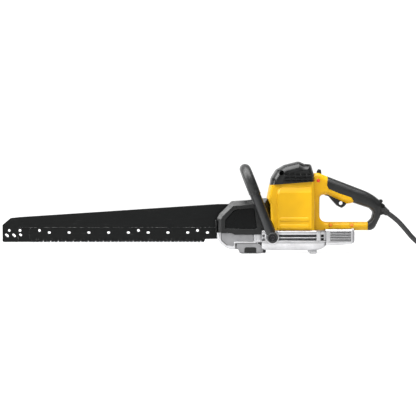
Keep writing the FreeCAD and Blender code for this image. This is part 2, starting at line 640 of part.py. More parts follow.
def clamp_cuts(shell, y_low):
    """Bolt holes of the bar clamp in a guard half."""
    for x, z in CLAMP_HOLES:
        shell = shell.cut(across(CLAMP_RADIUS, x, z, y_low, GUARD_HALF))
    return shell


def guard_right():
    """Right guard half, where the bolt heads are sunk."""
    shell = clamp_cuts(mirrored(guard_half()), 0)
    for x, z in CLAMP_HOLES:
        shell = shell.cut(across(5.6, x, z, GUARD_HALF - 5.4, GUARD_HALF + 1))
    return shell


def bar_bolts():
    """Two socket bolts that clamp the guide bar between the guard halves."""
    bolts = []
    for x, z in CLAMP_HOLES:
        head = across(5.4, x, z, GUARD_HALF - 5.4, GUARD_HALF - 1.6)
        head = head.cut(across(2.4, x, z, GUARD_HALF - 4.0, GUARD_HALF - 1.6))
        bolts.append(head.fuse(across(CLAMP_RADIUS, x, z, -20, GUARD_HALF - 5.4)))
    return Part.makeCompound(bolts)


def wear_plate():
    """Thin steel plate across the guard's front edge, either side of the blades."""
    left = side([(-73.2, 42.0), (-73.2, 66.6, 1), (-70.4, 66.6), (-70.4, 42.0)], -24, -5)
    return both_sides(left)


WINDOW_X = (-15.8, 7.8)
WINDOW_Z = (1.4, 12.8)


def window_outline(inset):
    """The latch window, square below and rounded above, drawn in by a gap."""
    left, right = WINDOW_X[0] + inset, WINDOW_X[1] - inset
    low, high = WINDOW_Z[0] + inset, WINDOW_Z[1] - inset
    return [(left, low), (left, high, 3.6 - inset), (right, high, 3.6 - inset), (right, low)]


def shoe():
    """Hinged front shoe: a sole and two cheeks round the belly."""
    profile = [(-31.0, 19.4, 1.5), (-31.0, 13.0, 4), (-25.0, 1.6, 4), (-21.0, 0, 4), (8.0, 0, 10), (25.4, 1.6, 2),
               (27.4, 5.8, 2), (14.4, 19.4, 2)]
    body = side(profile, -SHOE_HALF, SHOE_HALF)
    room = side([(-40, 40), (-40, 5), (18.5, 5), (18.5, -1), (40, -1), (40, 40)], -BELLY_HALF - 0.6, BELLY_HALF + 0.6)
    lug_room = side([(17.0, -1), (17.0, 12), (32, 12), (32, -1)], -14.4, -7.6)
    body = body.cut(room).cut(lug_room).cut(mirrored(lug_room))
    window = side(window_outline(0), -SHOE_HALF - 1, -BELLY_HALF)
    body = body.cut(window).cut(mirrored(window))
    return body.cut(across(2.84, SHOE_PIN[0], SHOE_PIN[1], -30, 30))


def shoe_latch():
    """Left push latch in the shoe's cheek."""
    return side(window_outline(PART_GAP), -SHOE_HALF - 0.2, -SHOE_HALF + 2.6)


# ---------------------------------------------------------------- bail handle
def bail_path(sign_range):
    """U-shaped centre line, as points down one leg, across and up the other."""
    rise = V(BAIL_TOP[0] - BAIL_EYE[0], 0, BAIL_TOP[1] - BAIL_EYE[1])
    lean = V(rise.x, 0, rise.z).normalize()
    top = V(BAIL_TOP[0], 0, BAIL_TOP[1])
    start = top - lean * sign_range
    left = [start + V(0, -BAIL_HALF, 0), top - lean * BAIL_BEND + V(0, -BAIL_HALF, 0)]
    corner = top + V(0, -BAIL_HALF, 0)
    ahead = V(0, 1, 0)
    centre = corner - lean * BAIL_BEND + ahead * BAIL_BEND
    middle = centre + (corner - centre).normalize() * BAIL_BEND
    bend_end = corner + ahead * BAIL_BEND
    edges = [Part.LineSegment(left[0], left[1]).toShape(), Part.Arc(left[1], middle, bend_end).toShape(),
             Part.LineSegment(bend_end, V(bend_end.x, -bend_end.y, bend_end.z)).toShape()]
    flip = [V(p.x, -p.y, p.z) for p in (bend_end, middle, left[1], left[0])]
    edges += [Part.Arc(flip[0], flip[1], flip[2]).toShape(), Part.LineSegment(flip[2], flip[3]).toShape()]
    return Part.Wire(edges), left[0], lean


def bail_sweep(length, radius):
    """Round bar along the bail's centre line, reaching a length down each leg."""
    path, start, lean = bail_path(length)
    ring = Part.Wire(Part.makeCircle(radius, start, lean))
    return path.makePipeShell([ring], True, False)


BAIL_LENGTH = math.hypot(BAIL_TOP[0] - BAIL_EYE[0], BAIL_TOP[1] - BAIL_EYE[1])
SLEEVE_LENGTH = 54.0


def bail_tube():
    """Bent bail with a bored eye at each foot."""
    bar = bail_sweep(BAIL_LENGTH, BAIL_TUBE)
    eye = across(10.4, BAIL_EYE[0], BAIL_EYE[1], -BAIL_HALF - 10.2, -CASE_HALF - 2.0)
    bail = join([bar, eye, mirrored(eye)])
    bore = across(4.0, BAIL_EYE[0], BAIL_EYE[1], -80, -40).fuse(
        across(7.0, BAIL_EYE[0], BAIL_EYE[1], -80, -BAIL_HALF - 3))
    return bail.cut(bore).cut(mirrored(bore))


def bail_grip():
    """Soft sleeve over the upper part of the bail."""
    return bail_sweep(SLEEVE_LENGTH, BAIL_SLEEVE).cut(bail_sweep(BAIL_LENGTH, BAIL_TUBE))


def bail_bolts():
    """Socket bolt through each eye into the gear case."""
    x, z = BAIL_EYE
    head = across(6.6, x, z, -BAIL_HALF - 7.5, -BAIL_HALF - 3)
    head = head.cut(across(3.2, x, z, -BAIL_HALF - 8, -BAIL_HALF - 5))
    return both_sides(head.fuse(across(4.0, x, z, -BAIL_HALF - 3, -39)))


# ---------------------------------------------------------------- rear handle
HANDLE_OUTLINE = [(122.8, 46.8), (122.8, 159.0, 2), (131.0, 160.0, 8), (238.0, 119.0, 26), (262.0, 98.5, 14),
                  (256.0, 73.0, 30), (242.5, 45.0, 10), (204.0, 45.0), (204.0, 49.0), (150.8, 49.0),
                  (150.8, 46.8)]
HAND_OPENING = [(134.2, 62.2, 13), (134.2, 116.0, 7), (150.0, 116.0, 6), (190.0, 97.6, 4), (201.0, 100.2, 3),
                (233.0, 89.4, 8), (240.4, 82.0, 6), (237.4, 69.6, 8), (230.0, 62.2, 4)]
GRIP_REGION = [(154.0, 170.0), (148.4, 135.2, 3), (151.8, 128.0, 3), (173.0, 119.0), (196.4, 111.4, 4),
               (200.8, 105.0, 2), (200.8, 90.0), (230.0, 76.0), (230.0, 40.0), (275.0, 40.0), (275.0, 170.0)]
HANDLE_ROOM = [(126.4, 66.0), (126.4, 155.0), (133.0, 155.4), (237.0, 115.2, 18), (257.0, 98.0, 10),
               (253.0, 80.0), (243.4, 86.0), (235.0, 93.0), (202.0, 104.0), (190.0, 101.8), (151.0, 119.6),
               (130.6, 119.6), (130.6, 66.0)]
HANDLE_SCREWS = [(156.0, 56.0), (198.0, 56.0), (141.0, 127.0), (214.0, 106.0)]
GLAND_X = (251.0, 261.4)
GLAND_Z = 91.6
GLAND_RADIUS = 14.6


def handle_half():
    """Left half of the rear handle before it is split into shell and grip cover."""
    body = side(HANDLE_OUTLINE, -HANDLE_HALF, 0)
    body = rounded_rim(body, 6.0, -HANDLE_HALF)
    body = body.cut(side(HAND_OPENING, -HANDLE_HALF - 1, 0))
    body = body.cut(box((154.0, 236.0), (-HANDLE_HALF - 1, -LOWER_BAR_HALF), (40.0, 66.0)))
    posts = [across(4.4, x, z, -HANDLE_HALF + 1, 0) for x, z in HANDLE_SCREWS[2:]]
    room = side(HANDLE_ROOM, -HANDLE_HALF + HANDLE_WALL, 0)
    body = body.cut(room)
    body = join([body] + posts)
    trigger_room = side([(141.0, 110.0), (141.0, 124.0), (156.0, 124.0), (192.6, 107.0), (192.6, 92.0)], -8.5, 0)
    body = body.cut(trigger_room)
    button_room = box(BUTTON_X, (-5.0 - PART_GAP, 0), (150.0, 170.0))
    body = body.cut(button_room)
    body = body.cut(gland_solid())
    body = body.cut(across(2.0, TRIGGER_PIN[0], TRIGGER_PIN[1], -15.0, 0))
    for x, z in HANDLE_SCREWS:
        body = body.cut(across(1.9, x, z, -13.0, 0))
    return body


BUTTON_X = (129.0 - PART_GAP, 138.0 + PART_GAP)


def gland_solid():
    """Round cord gland set into the back of the handle."""
    gland = Part.makeCylinder(GLAND_RADIUS, GLAND_X[1] - GLAND_X[0], V(GLAND_X[0], 0, GLAND_Z), V(1, 0, 0))
    return gland.makeFillet(2.4, [e for e in gland.Edges if e.BoundBox.XMin > GLAND_X[1] - 0.01])


def screw_heads(shape):
    """Cut the sunk heads of the handle screws, on the left side only."""
    for x, z in HANDLE_SCREWS:
        shape = shape.cut(across(3.6, x, z, -HANDLE_HALF - 1, -10.6))
    return shape


def handle_screws():
    """Four screws that close the handle, driven from the left."""
    screws = []
    for x, z in HANDLE_SCREWS:
        outer = -13.2
        head = across(3.5, x, z, outer, -10.6).cut(across(1.5, x, z, outer, outer + 1.4))
        screws.append(head.fuse(across(1.9, x, z, -10.6, 12.0)))
    return Part.makeCompound(screws)


def handle_parts():
    """The handle's four visible mouldings: two shells and two grip covers."""
    half = handle_half()
    region = side(GRIP_REGION, -HANDLE_HALF - 2, 0)
    shell = half.cut(region)
    cover = half.common(region)
    lens = across(3.5, 131.0, 144.6, -HANDLE_HALF - 1, 0)
    return {
        "handle_shell_left": screw_heads(shell).cut(lens),
        "handle_shell_right": mirrored(shell),
        "grip_cover_left": screw_heads(cover),
        "grip_cover_right": mirrored(cover),
    }


def trigger():
    """Finger trigger with a round finger hole, hinged at its thin front end."""
    outline = [(144.4, 115.0, 2), (152.0, 113.4, 3), (159.4, 104.6), (168.6, 94.6, 4), (178.4, 89.6, 4),
               (184.0, 93.4, 3), (189.4, 99.6), (189.6, 104.0, 2), (152.0, 122.4, 3), (144.0, 122.6, 2)]
    body = side(outline, -8, 8)
    body = body.cut(across(3.8, 176.8, 99.4, -9, 9))
    return body.cut(across(2.04, TRIGGER_PIN[0], TRIGGER_PIN[1], -9, 9))


def lock_off_button():
    """Lock-off button with a foot that keeps it in the handle."""
    cap = plan([(129, -5, 3), (138, -5, 3), (138, 5, 3), (129, 5, 3)], 151.4, 167.6)
    cap = cap.makeFillet(1.6, [e for e in cap.Edges if e.BoundBox.ZMin > 167.5])
    foot = box((127.4, 139.6), (-6.6, 6.6), (148.6, 151.4))
    return cap.fuse(foot)


def switch_body():
    """Switch block behind the trigger, leaning with the grip."""
    block = box((162.0, 198.0), (-9, 9), (124.0, 136.0))
    block.rotate(V(162, 0, 124), V(0, 1, 0), 21)
    return block


# ---------------------------------------------------------------- cord
def cord_direction():
    """Unit vector in which the cord leaves the handle."""
    return V(math.cos(CORD_SLOPE), 0, math.sin(CORD_SLOPE))


def boot_end():
    """Point where the cord leaves the rubber boot."""
    return V(*CORD_START) + cord_direction() * BOOT_LENGTH


def cord_boot():
    """Tapered rubber boot that leads the cord out of the gland."""
    boot = Part.makeCone(8.4, 6.4, BOOT_LENGTH, V(*CORD_START), cord_direction())
    return boot.cut(box((240.0, GLAND_X[1]), (-20, 20), (60, 120)))


def cord_path():
    """Straight runs joined by tangent arcs, from the boot to the coil."""
    outer_turn = COIL_OUTER - CORD_RADIUS
    tangent_point = V(COIL_CENTRE[0] - 24.0, COIL_CENTRE[1] - outer_turn, COIL_BASE + CORD_RADIUS)
    points = [boot_end()] + [V(*p) for p in CORD_ROUTE] + [tangent_point]
    edges = []
    start = points[0]
    for i in range(1, len(points) - 1):
        back = points[i - 1] - points[i]
        ahead = points[i + 1] - points[i]
        shorter = min(back.Length, ahead.Length)
        turn = math.pi - back.getAngle(ahead)
        reach = 0.45 * shorter
        radius = reach / math.tan(turn / 2)
        print("cord bend radius %.1f mm, turn %.1f degrees" % (radius, math.degrees(turn)))
        back.normalize()
        ahead.normalize()
        arc_start = points[i] + back * reach
        arc_end = points[i] + ahead * reach
        inward = (back + ahead).normalize()
        middle = points[i] + inward * (radius / math.cos(turn / 2) - radius)
        edges.append(Part.LineSegment(start, arc_start).toShape())
        edges.append(Part.Arc(arc_start, middle, arc_end).toShape())
        start = arc_end
    edges.append(Part.LineSegment(start, points[-1]).toShape())
    return Part.Wire(edges), points


def cord():
    """Round cord from the boot to the coil."""
    path, points = cord_path()
    ring = Part.Wire(Part.makeCircle(CORD_RADIUS, points[0], points[1] - points[0]))
    solid = path.makePipeShell([ring], True, False)
    expected = math.pi * CORD_RADIUS ** 2 * path.Length
    print("cord length %.1f mm, volume ratio %.4f" % (path.Length, solid.Volume / expected))
    return solid


COIL_INNER = COIL_INNER_TURN - CORD_RADIUS
COIL_OUTER = COIL_INNER_TURN + 2 * CORD_RADIUS * COIL_COLUMNS - CORD_RADIUS
COIL_HIGH = COIL_BASE + 2 * CORD_RADIUS * COIL_LAYERS


def cord_coil():
    """The outer shape of the tied coil: a low ring with rounded edges."""
    ring = tube(COIL_OUTER, COIL_INNER, COIL_CENTRE[0], COIL_CENTRE[1], COIL_BASE, COIL_HIGH)
    return ring.makeFillet(3.0, [e for e in ring.Edges if e.BoundBox.ZMax - e.BoundBox.ZMin < 0.01])


def cord_tie():
    """Strap round the coil's section, on the side away from the saw."""
    x = COIL_CENTRE[0]
    y = COIL_CENTRE[1] + (COIL_INNER + COIL_OUTER) / 2
    reach = (COIL_OUTER - COIL_INNER) / 2
    loop = [(y - reach - 2.0, 0, 3), (y + reach + 2.0, 0, 3), (y + reach + 2.0, COIL_HIGH + 1.2, 3),
            (y - reach - 2.0, COIL_HIGH + 1.2, 3)]
    hole = [(y - reach - 0.8, COIL_BASE, 2), (y + reach + 0.8, COIL_BASE, 2), (y + reach + 0.8, COIL_HIGH, 2),
            (y - reach - 0.8, COIL_HIGH, 2)]
    return front(loop, x - 5, x + 5).cut(front(hole, x - 6, x + 6))


PLUG_X = COIL_CENTRE[0] + COIL_OUTER - CORD_RADIUS
PLUG_Z = 17.0


def along(radius, x, z, y_low, y_high, end_radius):
    """Cone along Y, for the plug's sleeve."""
    return Part.makeCone(radius, end_radius, y_high - y_low, V(x, y_low, z), V(0, 1, 0))


def plug():
    """Round two-pin contour plug lying beside the coil."""
    sleeve = along(6.6, PLUG_X, PLUG_Z, PLUG_START, PLUG_START + 22, 9.0)
    body = across(17.0, PLUG_X, PLUG_Z, PLUG_START + 22, PLUG_START + 56)
    body = body.makeFillet(5.0, [e for e in body.Edges if e.BoundBox.YMax < PLUG_START + 23])
    return sleeve.fuse(body)


def plug_pins():
    """Two round pins."""
    low = PLUG_START + 56
    return Part.makeCompound([across(2.4, PLUG_X + dx, PLUG_Z, low, low + 19.0) for dx in (-9.5, 9.5)])


# ---------------------------------------------------------------- write every node
def build():
    """Make and save all nodes."""
    os.makedirs("parts", exist_ok=True)
    stud_hole = across(STUD_RADIUS + 0.02, STUD_X, STUD_Z, -5, 0)
    left_bar = yoke_bar(UPPER_BAR, 31.0, HEAD_TOP)
    right_bar = mirrored(yoke_bar(LOWER_BAR, LOWER_BAR[0], HEAD_TOP))
    nodes = {
        "guide_bar": guide_bar(),
        "blade_left": blade_strip(0.0).cut(stud_hole),
        "blade_right": mirrored(blade_strip(RIGHT_SHIFT).cut(stud_hole)),
        "blade_left_tips": blade_tips(0.0),
        "blade_right_tips": mirrored(blade_tips(RIGHT_SHIFT)),
        "drive_bar_left": left_bar,
        "drive_bar_right": right_bar,
        "crank_gear": crank_gear(),
        "crank_bearing": crank_bearing(),
        "slide_guides": slide_guides(),
        "armature_shaft": armature_shaft(),
        "armature_core": tube(22.8, SHAFT_RADIUS, MOTOR_X, 0, 70, 114),
        "commutator": tube(14.0, SHAFT_RADIUS, MOTOR_X, 0, 126, 144),
        "cooling_fan": cooling_fan(),
        "stator_core": tube(38.0, 23.6, MOTOR_X, 0, 72, 112),
        "field_coils": Part.makeCompound([tube(35, 25, MOTOR_X, 0, 64, 72),
                                          tube(35, 25, MOTOR_X, 0, 112, 120)]),
        "bearing_bridge": bearing_bridge(),
        "upper_bearing": tube(9.0, SHAFT_RADIUS + 0.02, MOTOR_X, 0, BRIDGE_LOW, BRIDGE_LOW + 8),
        "motor_bearings": motor_bearings(),
        "brush_holders": both_sides(brush_holder()),
        "carbon_brushes": both_sides(carbon_brush()),
        "motor_housing": motor_housing(),
        "motor_cap": motor_cap(),
        "cap_screws": cap_screws(),
        "gear_case_upper": gear_case_upper(),
        "gear_case_lower": gear_case_lower(),
        "gear_plate": gear_plate(),
        "case_screws": case_screws(),
        "tail_cover": tail_cover(),
        "rear_feet": rear_feet(),
        "front_casting": front_casting(),
        "front_guard_left": clamp_cuts(guard_half(), -21),
        "front_guard_right": guard_right(),
        "bar_bolts": bar_bolts(),
        "wear_plates": wear_plate(),
        "shoe": shoe(),
        "shoe_latch_left": shoe_latch(),
        "shoe_latch_right": mirrored(shoe_latch()),
        "shoe_pin": across(2.8, SHOE_PIN[0], SHOE_PIN[1], -SHOE_HALF + 0.5, SHOE_HALF - 0.5),
        "bail_tube": bail_tube(),
        "bail_grip": bail_grip(),
        "bail_bolts": bail_bolts(),
        "trigger": trigger(),
        "trigger_pin": across(2.0, TRIGGER_PIN[0], TRIGGER_PIN[1], -14.6, 14.6),
        "lock_off_button": lock_off_button(),
        "switch_body": switch_body(),
        "indicator_lens": across(3.5, 131.0, 144.6, -HANDLE_HALF - 0.5, -HANDLE_HALF + HANDLE_WALL),
        "handle_screws": handle_screws(),
        "cord_gland": gland_solid(),
        "cord_boot": cord_boot(),
        "cord": cord(),
        "cord_coil": cord_coil(),
        "cord_tie": cord_tie(),
        "plug": plug(),
        "plug_pins": plug_pins(),
    }
    nodes.update(handle_parts())
    for name, shape in nodes.items():
        save(name, shape)
        print("%-20s solids %2d  volume %10.1f  valid %s" %
              (name, len(shape.Solids), shape.Volume, shape.isValid()))


build()
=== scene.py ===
import math

import bmesh
import bpy
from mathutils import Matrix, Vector, geometry


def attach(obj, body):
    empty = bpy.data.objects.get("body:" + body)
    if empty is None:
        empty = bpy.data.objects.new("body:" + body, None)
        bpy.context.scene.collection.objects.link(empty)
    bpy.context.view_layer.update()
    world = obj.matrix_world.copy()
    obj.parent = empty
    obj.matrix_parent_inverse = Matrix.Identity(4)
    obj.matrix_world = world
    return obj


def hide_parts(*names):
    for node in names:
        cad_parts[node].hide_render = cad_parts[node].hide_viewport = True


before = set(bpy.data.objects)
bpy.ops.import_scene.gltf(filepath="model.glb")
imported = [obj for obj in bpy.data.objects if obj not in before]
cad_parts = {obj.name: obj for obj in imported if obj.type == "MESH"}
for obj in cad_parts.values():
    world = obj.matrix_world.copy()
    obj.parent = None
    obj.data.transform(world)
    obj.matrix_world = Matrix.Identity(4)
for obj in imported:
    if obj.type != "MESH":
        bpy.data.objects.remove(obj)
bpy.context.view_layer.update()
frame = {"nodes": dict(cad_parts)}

MM = 0.001


def linear(red, green, blue):
    """A display colour, 0 to 255, as the linear colour that shaders take."""
    values = []
    for value in (red, green, blue):
        value /= 255.0
        values.append(value / 12.92 if value <= 0.04045 else ((value + 0.055) / 1.055) ** 2.4)
    return (*values, 1.0)


# Camera, floor and light.

CAMERA_AIM = Vector((-0.088, 0.0, 0.0896))
CAMERA_AWAY, CAMERA_TILT = 3.0, math.radians(2.0)
STUDIO_MIDDLE = (-0.05, 0.0, 0.08)


def add_camera():
    """A long lens on the saw's left side, a little above it."""
    data = bpy.data.cameras.new("camera")
    data.lens = 130
    data.clip_end = 60
    camera = bpy.data.objects.new("camera", data)
    bpy.context.scene.collection.objects.link(camera)
    camera.location = CAMERA_AIM + CAMERA_AWAY * Vector((0.0, -math.cos(CAMERA_TILT), math.sin(CAMERA_TILT)))
    camera.rotation_euler = (math.radians(90) - CAMERA_TILT, 0, 0)
    bpy.context.scene.camera = camera


def stage_look(name, glow):
    """Pale matt paper, brightened a little so that it stays even."""
    look = bpy.data.materials.new(name)
    look.use_nodes = True
    shader = look.node_tree.nodes["Principled BSDF"]
    shader.inputs["Base Color"].default_value = (0.25, 0.25, 0.25, 1)
    shader.inputs["Roughness"].default_value = 0.9
    shader.inputs["Specular IOR Level"].default_value = 0.1
    shader.inputs["Emission Color"].default_value = (1, 1, 1, 1)
    shader.inputs["Emission Strength"].default_value = glow
    return look


def add_stage():
    """A pale floor, and a backdrop that curves up from it a long way behind the object."""
    floor = bpy.data.meshes.new("floor")
    reach = 12
    floor.from_pydata([(-reach, -reach, 0), (reach, -reach, 0), (reach, reach, 0), (-reach, reach, 0)],
                      [], [(0, 1, 2, 3)])
    floor.materials.append(stage_look("floor_paper", 0.86))
    half, depth, radius, above_floor, top = 8.0, 5.2, 1.5, 0.002, 6.0
    line = []
    for step in range(13):
        angle = math.radians(90 * step / 12)
        line.append((depth + radius * math.sin(angle), above_floor + radius * (1 - math.cos(angle))))
    line.append((depth + radius, top))
    points = [(x, y, z) for y, z in line for x in (-half, half)]
    faces = [(2 * i, 2 * i + 1, 2 * i + 3, 2 * i + 2) for i in range(len(line) - 1)]
    backdrop = bpy.data.meshes.new("backdrop")
    backdrop.from_pydata(points, [], faces)
    backdrop.shade_smooth()
    backdrop.materials.append(stage_look("backdrop_paper", 0.95))
    for mesh in (floor, backdrop):
        thing = bpy.data.objects.new(mesh.name, mesh)
        bpy.context.scene.collection.objects.link(thing)


def add_light(name, place, size, power):
    """A rectangular area light aimed at the middle of the saw."""
    data = bpy.data.lights.new(name, "AREA")
    data.shape = "RECTANGLE"
    data.size, data.size_y = size
    data.energy = power
    light = bpy.data.objects.new(name, data)
    bpy.context.scene.collection.objects.link(light)
    light.location = place
    light.rotation_euler = (Vector(STUDIO_MIDDLE) - Vector(place)).to_track_quat("-Z", "Y").to_euler()


def add_lights():
    """A dim white world, a large key light overhead and a smaller one ahead of the blades."""
    world = bpy.data.worlds.new("studio")
    bpy.context.scene.world = world
    world.use_nodes = True
    background = world.node_tree.nodes["Background"]
    background.inputs["Color"].default_value = (1, 1, 1, 1)
    background.inputs["Strength"].default_value = 0.18
    add_light("key", (-0.3, -0.45, 1.75), (2.4, 2.1), 118)
    add_light("side", (-1.9, -0.2, 1.0), (1.5, 1.5), 60)
    bpy.context.scene.view_settings.view_transform = "Standard"


add_camera()
add_stage()
add_lights()


# Materials. Every texture is read from the object's own coordinates, in metres.

class Look:
    """One material, with short names for the shader nodes that the finishes use."""

    def __init__(self, name, metallic=0.0, specular=0.5, coat=0.0, coat_rough=0.1):
        self.material = bpy.data.materials.new(name)
        self.material.use_nodes = True
        self.tree = self.material.node_tree
        self.shader = self.tree.nodes["Principled BSDF"]
        self.shader.inputs["Metallic"].default_value = metallic
        self.shader.inputs["Specular IOR Level"].default_value = specular
        self.shader.inputs["Coat Weight"].default_value = coat
        self.shader.inputs["Coat Roughness"].default_value = coat_rough
        self.spot = self.tree.nodes.new("ShaderNodeTexCoord").outputs["Object"]

    def put(self, value, socket):
        """Links a socket, or sets a plain value."""
        if isinstance(value, bpy.types.NodeSocket):
            self.tree.links.new(value, socket)
        else:
            socket.default_value = value

    def node(self, kind, inputs, output, **settings):
        """Adds a shader node with its settings and inputs, and returns one of its outputs."""
        node = self.tree.nodes.new("ShaderNode" + kind)
        for name, value in settings.items():
            setattr(node, name, value)
        for name, value in inputs.items():
            self.put(value, node.inputs[name])
        return node.outputs[output]

    def noise(self, scale, detail, stretch=None, roughness=0.55):
        spot = self.node("Mapping", {"Scale": stretch, "Vector": self.spot}, "Vector") if stretch else self.spot
        inputs = {"Scale": scale, "Detail": detail, "Roughness": roughness, "Vector": spot}
        return self.node("TexNoise", inputs, "Fac")

    def cells(self, scale):
        return self.node("TexVoronoi", {"Scale": scale, "Vector": self.spot}, "Distance")

    def bands(self, scale, axis, distortion):
        inputs = {"Scale": scale, "Distortion": distortion, "Vector": self.spot}
        return self.node("TexWave", inputs, "Fac", bands_direction=axis)

    def ranged(self, value, low, high, to_low=0.0, to_high=1.0):
        """The value, eased from low..high to to_low..to_high."""
        inputs = {"Value": value, "From Min": low, "From Max": high, "To Min": to_low, "To Max": to_high}
        return self.node("MapRange", inputs, "Result", interpolation_type="SMOOTHSTEP")

    def times(self, first, second):
        return self.node("Math", {0: first, 1: second}, "Value", operation="MULTIPLY")

    def mixed(self, first, second, share):
        return self.node("Mix", {0: share, 6: first, 7: second}, 2, data_type="RGBA")

    def edges(self, radius):
        """Near 1 on convex and concave edges, 0 on flat faces."""
        rounded = self.node("Bevel", {"Radius": radius}, "Normal", samples=4)
        flat = self.node("NewGeometry", {}, "Normal")
        likeness = self.node("VectorMath", {0: rounded, 1: flat}, "Value", operation="DOT_PRODUCT")
        return self.ranged(likeness, 0.8, 0.985, 1.0, 0.0)

    def painted_crevice_shade(self, reach):
        """Near 1 in narrow grooves and corners, 0 on open faces; the mask for painted shade in hollows."""
        shade = self.node("AmbientOcclusion", {"Distance": reach}, "AO", samples=6)
        return self.ranged(shade, 0.25, 0.9, 1.0, 0.0)

    def bump(self, height, strength, depth, under=None):
        inputs = {"Strength": strength, "Distance": depth, "Height": height}
        if under is not None:
            inputs["Normal"] = under
        return self.node("Bump", inputs, "Normal")

    def drifted(self, dark, light, scale, detail):
        """A slow drift between two tones."""
        return self.mixed(dark, light, self.ranged(self.noise(scale, detail), 0.3, 0.7))

    def gloss(self, low, high, scale, detail):
        """A roughness that wanders between low and high."""
        return self.ranged(self.noise(scale, detail), 0.25, 0.75, low, high)

    def finish(self, colour, rough, normal):
        self.put(colour, self.shader.inputs["Base Color"])
        self.put(rough, self.shader.inputs["Roughness"])
        self.put(normal, self.shader.inputs["Normal"])
        return self.material


def scaled(colour, factor):
    """A lighter or darker version of the colour."""
    return (*(min(1.0, value * factor) for value in colour[:3]), 1.0)


def plastic(name, colour, rough, grain=2400, grain_strength=0.35, worn=1.35, specular=0.5):
    """Moulded plastic: spark-eroded grain, a slow drift of tone, rubbed edges and fine scuffs."""
    look = Look(name, specular=specular)
    tone = look.drifted(scaled(colour, 0.9), scaled(colour, 1.06), 16, 2)
    rubbed = look.times(look.edges(0.0007), look.ranged(look.noise(140, 4), 0.4, 0.62, 0.1, 0.7))
    tone = look.mixed(tone, scaled(colour, worn), rubbed)
    scuffs = look.ranged(look.noise(60, 5, stretch=(1, 1, 7)), 0.62, 0.72)
    gloss = look.gloss(rough - 0.06, rough + 0.07, 90, 4)
    surface = look.bump(look.noise(grain, 2), grain_strength, 0.00012)
    surface = look.bump(scuffs, 0.08, 0.00005, surface)
    return look.finish(tone, gloss, surface)


def cast_metal(name, colour, rough, pit=0.3, shade=0.1):
    """Tumbled and clear-lacquered aluminium casting: soft orange peel, small pits, brighter edges, and painted
    shade darkening grooves and corners.
    """
    look = Look(name, metallic=1.0)
    tone = look.drifted(scaled(colour, 0.86), scaled(colour, 1.05), 45, 4)
    pits = look.ranged(look.cells(900), 0.0, 0.16, 1.0, 0.0)
    pitted = look.times(pits, look.ranged(look.noise(120, 2), 0.55, 0.7))
    tone = look.mixed(tone, scaled(colour, 0.62), pitted)
    tone = look.mixed(tone, scaled(colour, 1.22), look.times(look.edges(0.0008), 0.7))
    # Painted shade: grooves and corners darken towards shade times the colour, where light is blocked.
    tone = look.mixed(tone, scaled(colour, shade), look.painted_crevice_shade(0.007))
    gloss = look.gloss(rough - 0.08, rough + 0.08, 240, 4)
    surface = look.bump(look.noise(620, 4), pit, 0.0002)
    surface = look.bump(look.noise(2600, 2), 0.15, 0.00006, surface)
    return look.finish(tone, gloss, surface)


def coated_steel(name, colour, rough, metallic, scratch, specular=0.5):
    """Dark coated sheet steel, ground along its length, with scratches and steel showing at the edges."""
    look = Look(name, metallic=metallic, specular=specular)
    bare = (0.45, 0.45, 0.45, 1)
    grain = look.noise(60, 5, stretch=(1, 8, 60))
    tone = look.mixed(scaled(colour, 0.8), scaled(colour, 1.5), look.ranged(grain, 0.3, 0.7))
    marks = look.ranged(look.noise(24, 6, stretch=(1, 5, 22), roughness=0.7), 0.64, 0.7, 0, scratch)
    tone = look.mixed(tone, scaled(bare, 0.35), marks)
    worn = look.times(look.edges(0.0006), look.ranged(look.noise(260, 4), 0.42, 0.6, 0, 0.75))
    tone = look.mixed(tone, bare, worn)
    gloss = look.ranged(look.noise(80, 4, stretch=(1, 3, 12)), 0.25, 0.75, rough - 0.08, rough + 0.1)
    surface = look.bump(grain, 0.1, 0.00008)
    surface = look.bump(look.noise(1500, 2), 0.1, 0.00005, surface)
    return look.finish(tone, gloss, surface)


def bright_metal(name, colour, rough, axis="Z"):
    """Machined metal: fine tool marks, a little staining and dark grease."""
    look = Look(name, metallic=1.0)
    lines = look.bands(900, axis, 1.2)
    tone = look.drifted(scaled(colour, 0.8), colour, 70, 4)
    tone = look.mixed(tone, scaled(colour, 0.35), look.ranged(look.noise(150, 5), 0.6, 0.75, 0, 0.6))
    gloss = look.gloss(rough - 0.07, rough + 0.08, 300, 3)
    return look.finish(tone, gloss, look.bump(lines, 0.12, 0.00004))


def rubber(name, colour, rough, grain=1700, strength=0.5):
    """Moulded soft rubber: matt grain, paler where hands and dust rub it."""
    look = Look(name, specular=0.42)
    look.shader.inputs["Sheen Weight"].default_value = 0.02
    look.shader.inputs["Sheen Roughness"].default_value = 0.5
    tone = look.drifted(scaled(colour, 0.85), scaled(colour, 1.15), 30, 4)
    tone = look.mixed(tone, scaled(colour, 1.7), look.times(look.edges(0.0009), 0.5))
    gloss = look.gloss(rough - 0.08, rough + 0.08, 110, 4)
    return look.finish(tone, gloss, look.bump(look.noise(grain, 3), strength, 0.00016))


def paint(name, colour, rough):
    """Powder coat on a steel tube: fine orange peel, chips along the edges."""
    look = Look(name)
    tone = look.drifted(scaled(colour, 0.85), scaled(colour, 1.2), 50, 3)
    chips = look.ranged(look.noise(300, 4), 0.7, 0.73, 0, 0.5)
    tone = look.mixed(tone, linear(120, 118, 114), chips)
    gloss = look.gloss(rough - 0.05, rough + 0.07, 130, 3)
    return look.finish(tone, gloss, look.bump(look.noise(850, 2), 0.22, 0.00018))


def stacked_sheets(name, colour, rough, pitch):
    """Windings and laminations: thin layers, one a pitch apart, with varnish between them."""
    look = Look(name, metallic=0.9)
    layers = look.bands(0.314 / pitch, "Z", 0.4)
    tone = look.mixed(scaled(colour, 0.35), colour, look.ranged(layers, 0.15, 0.6))
    tone = look.mixed(tone, scaled(colour, 0.6), look.ranged(look.noise(90, 4), 0.5, 0.7, 0, 0.6))
    gloss = look.gloss(rough - 0.06, rough + 0.08, 200, 3)
    return look.finish(tone, gloss, look.bump(layers, 0.5, 0.0001))


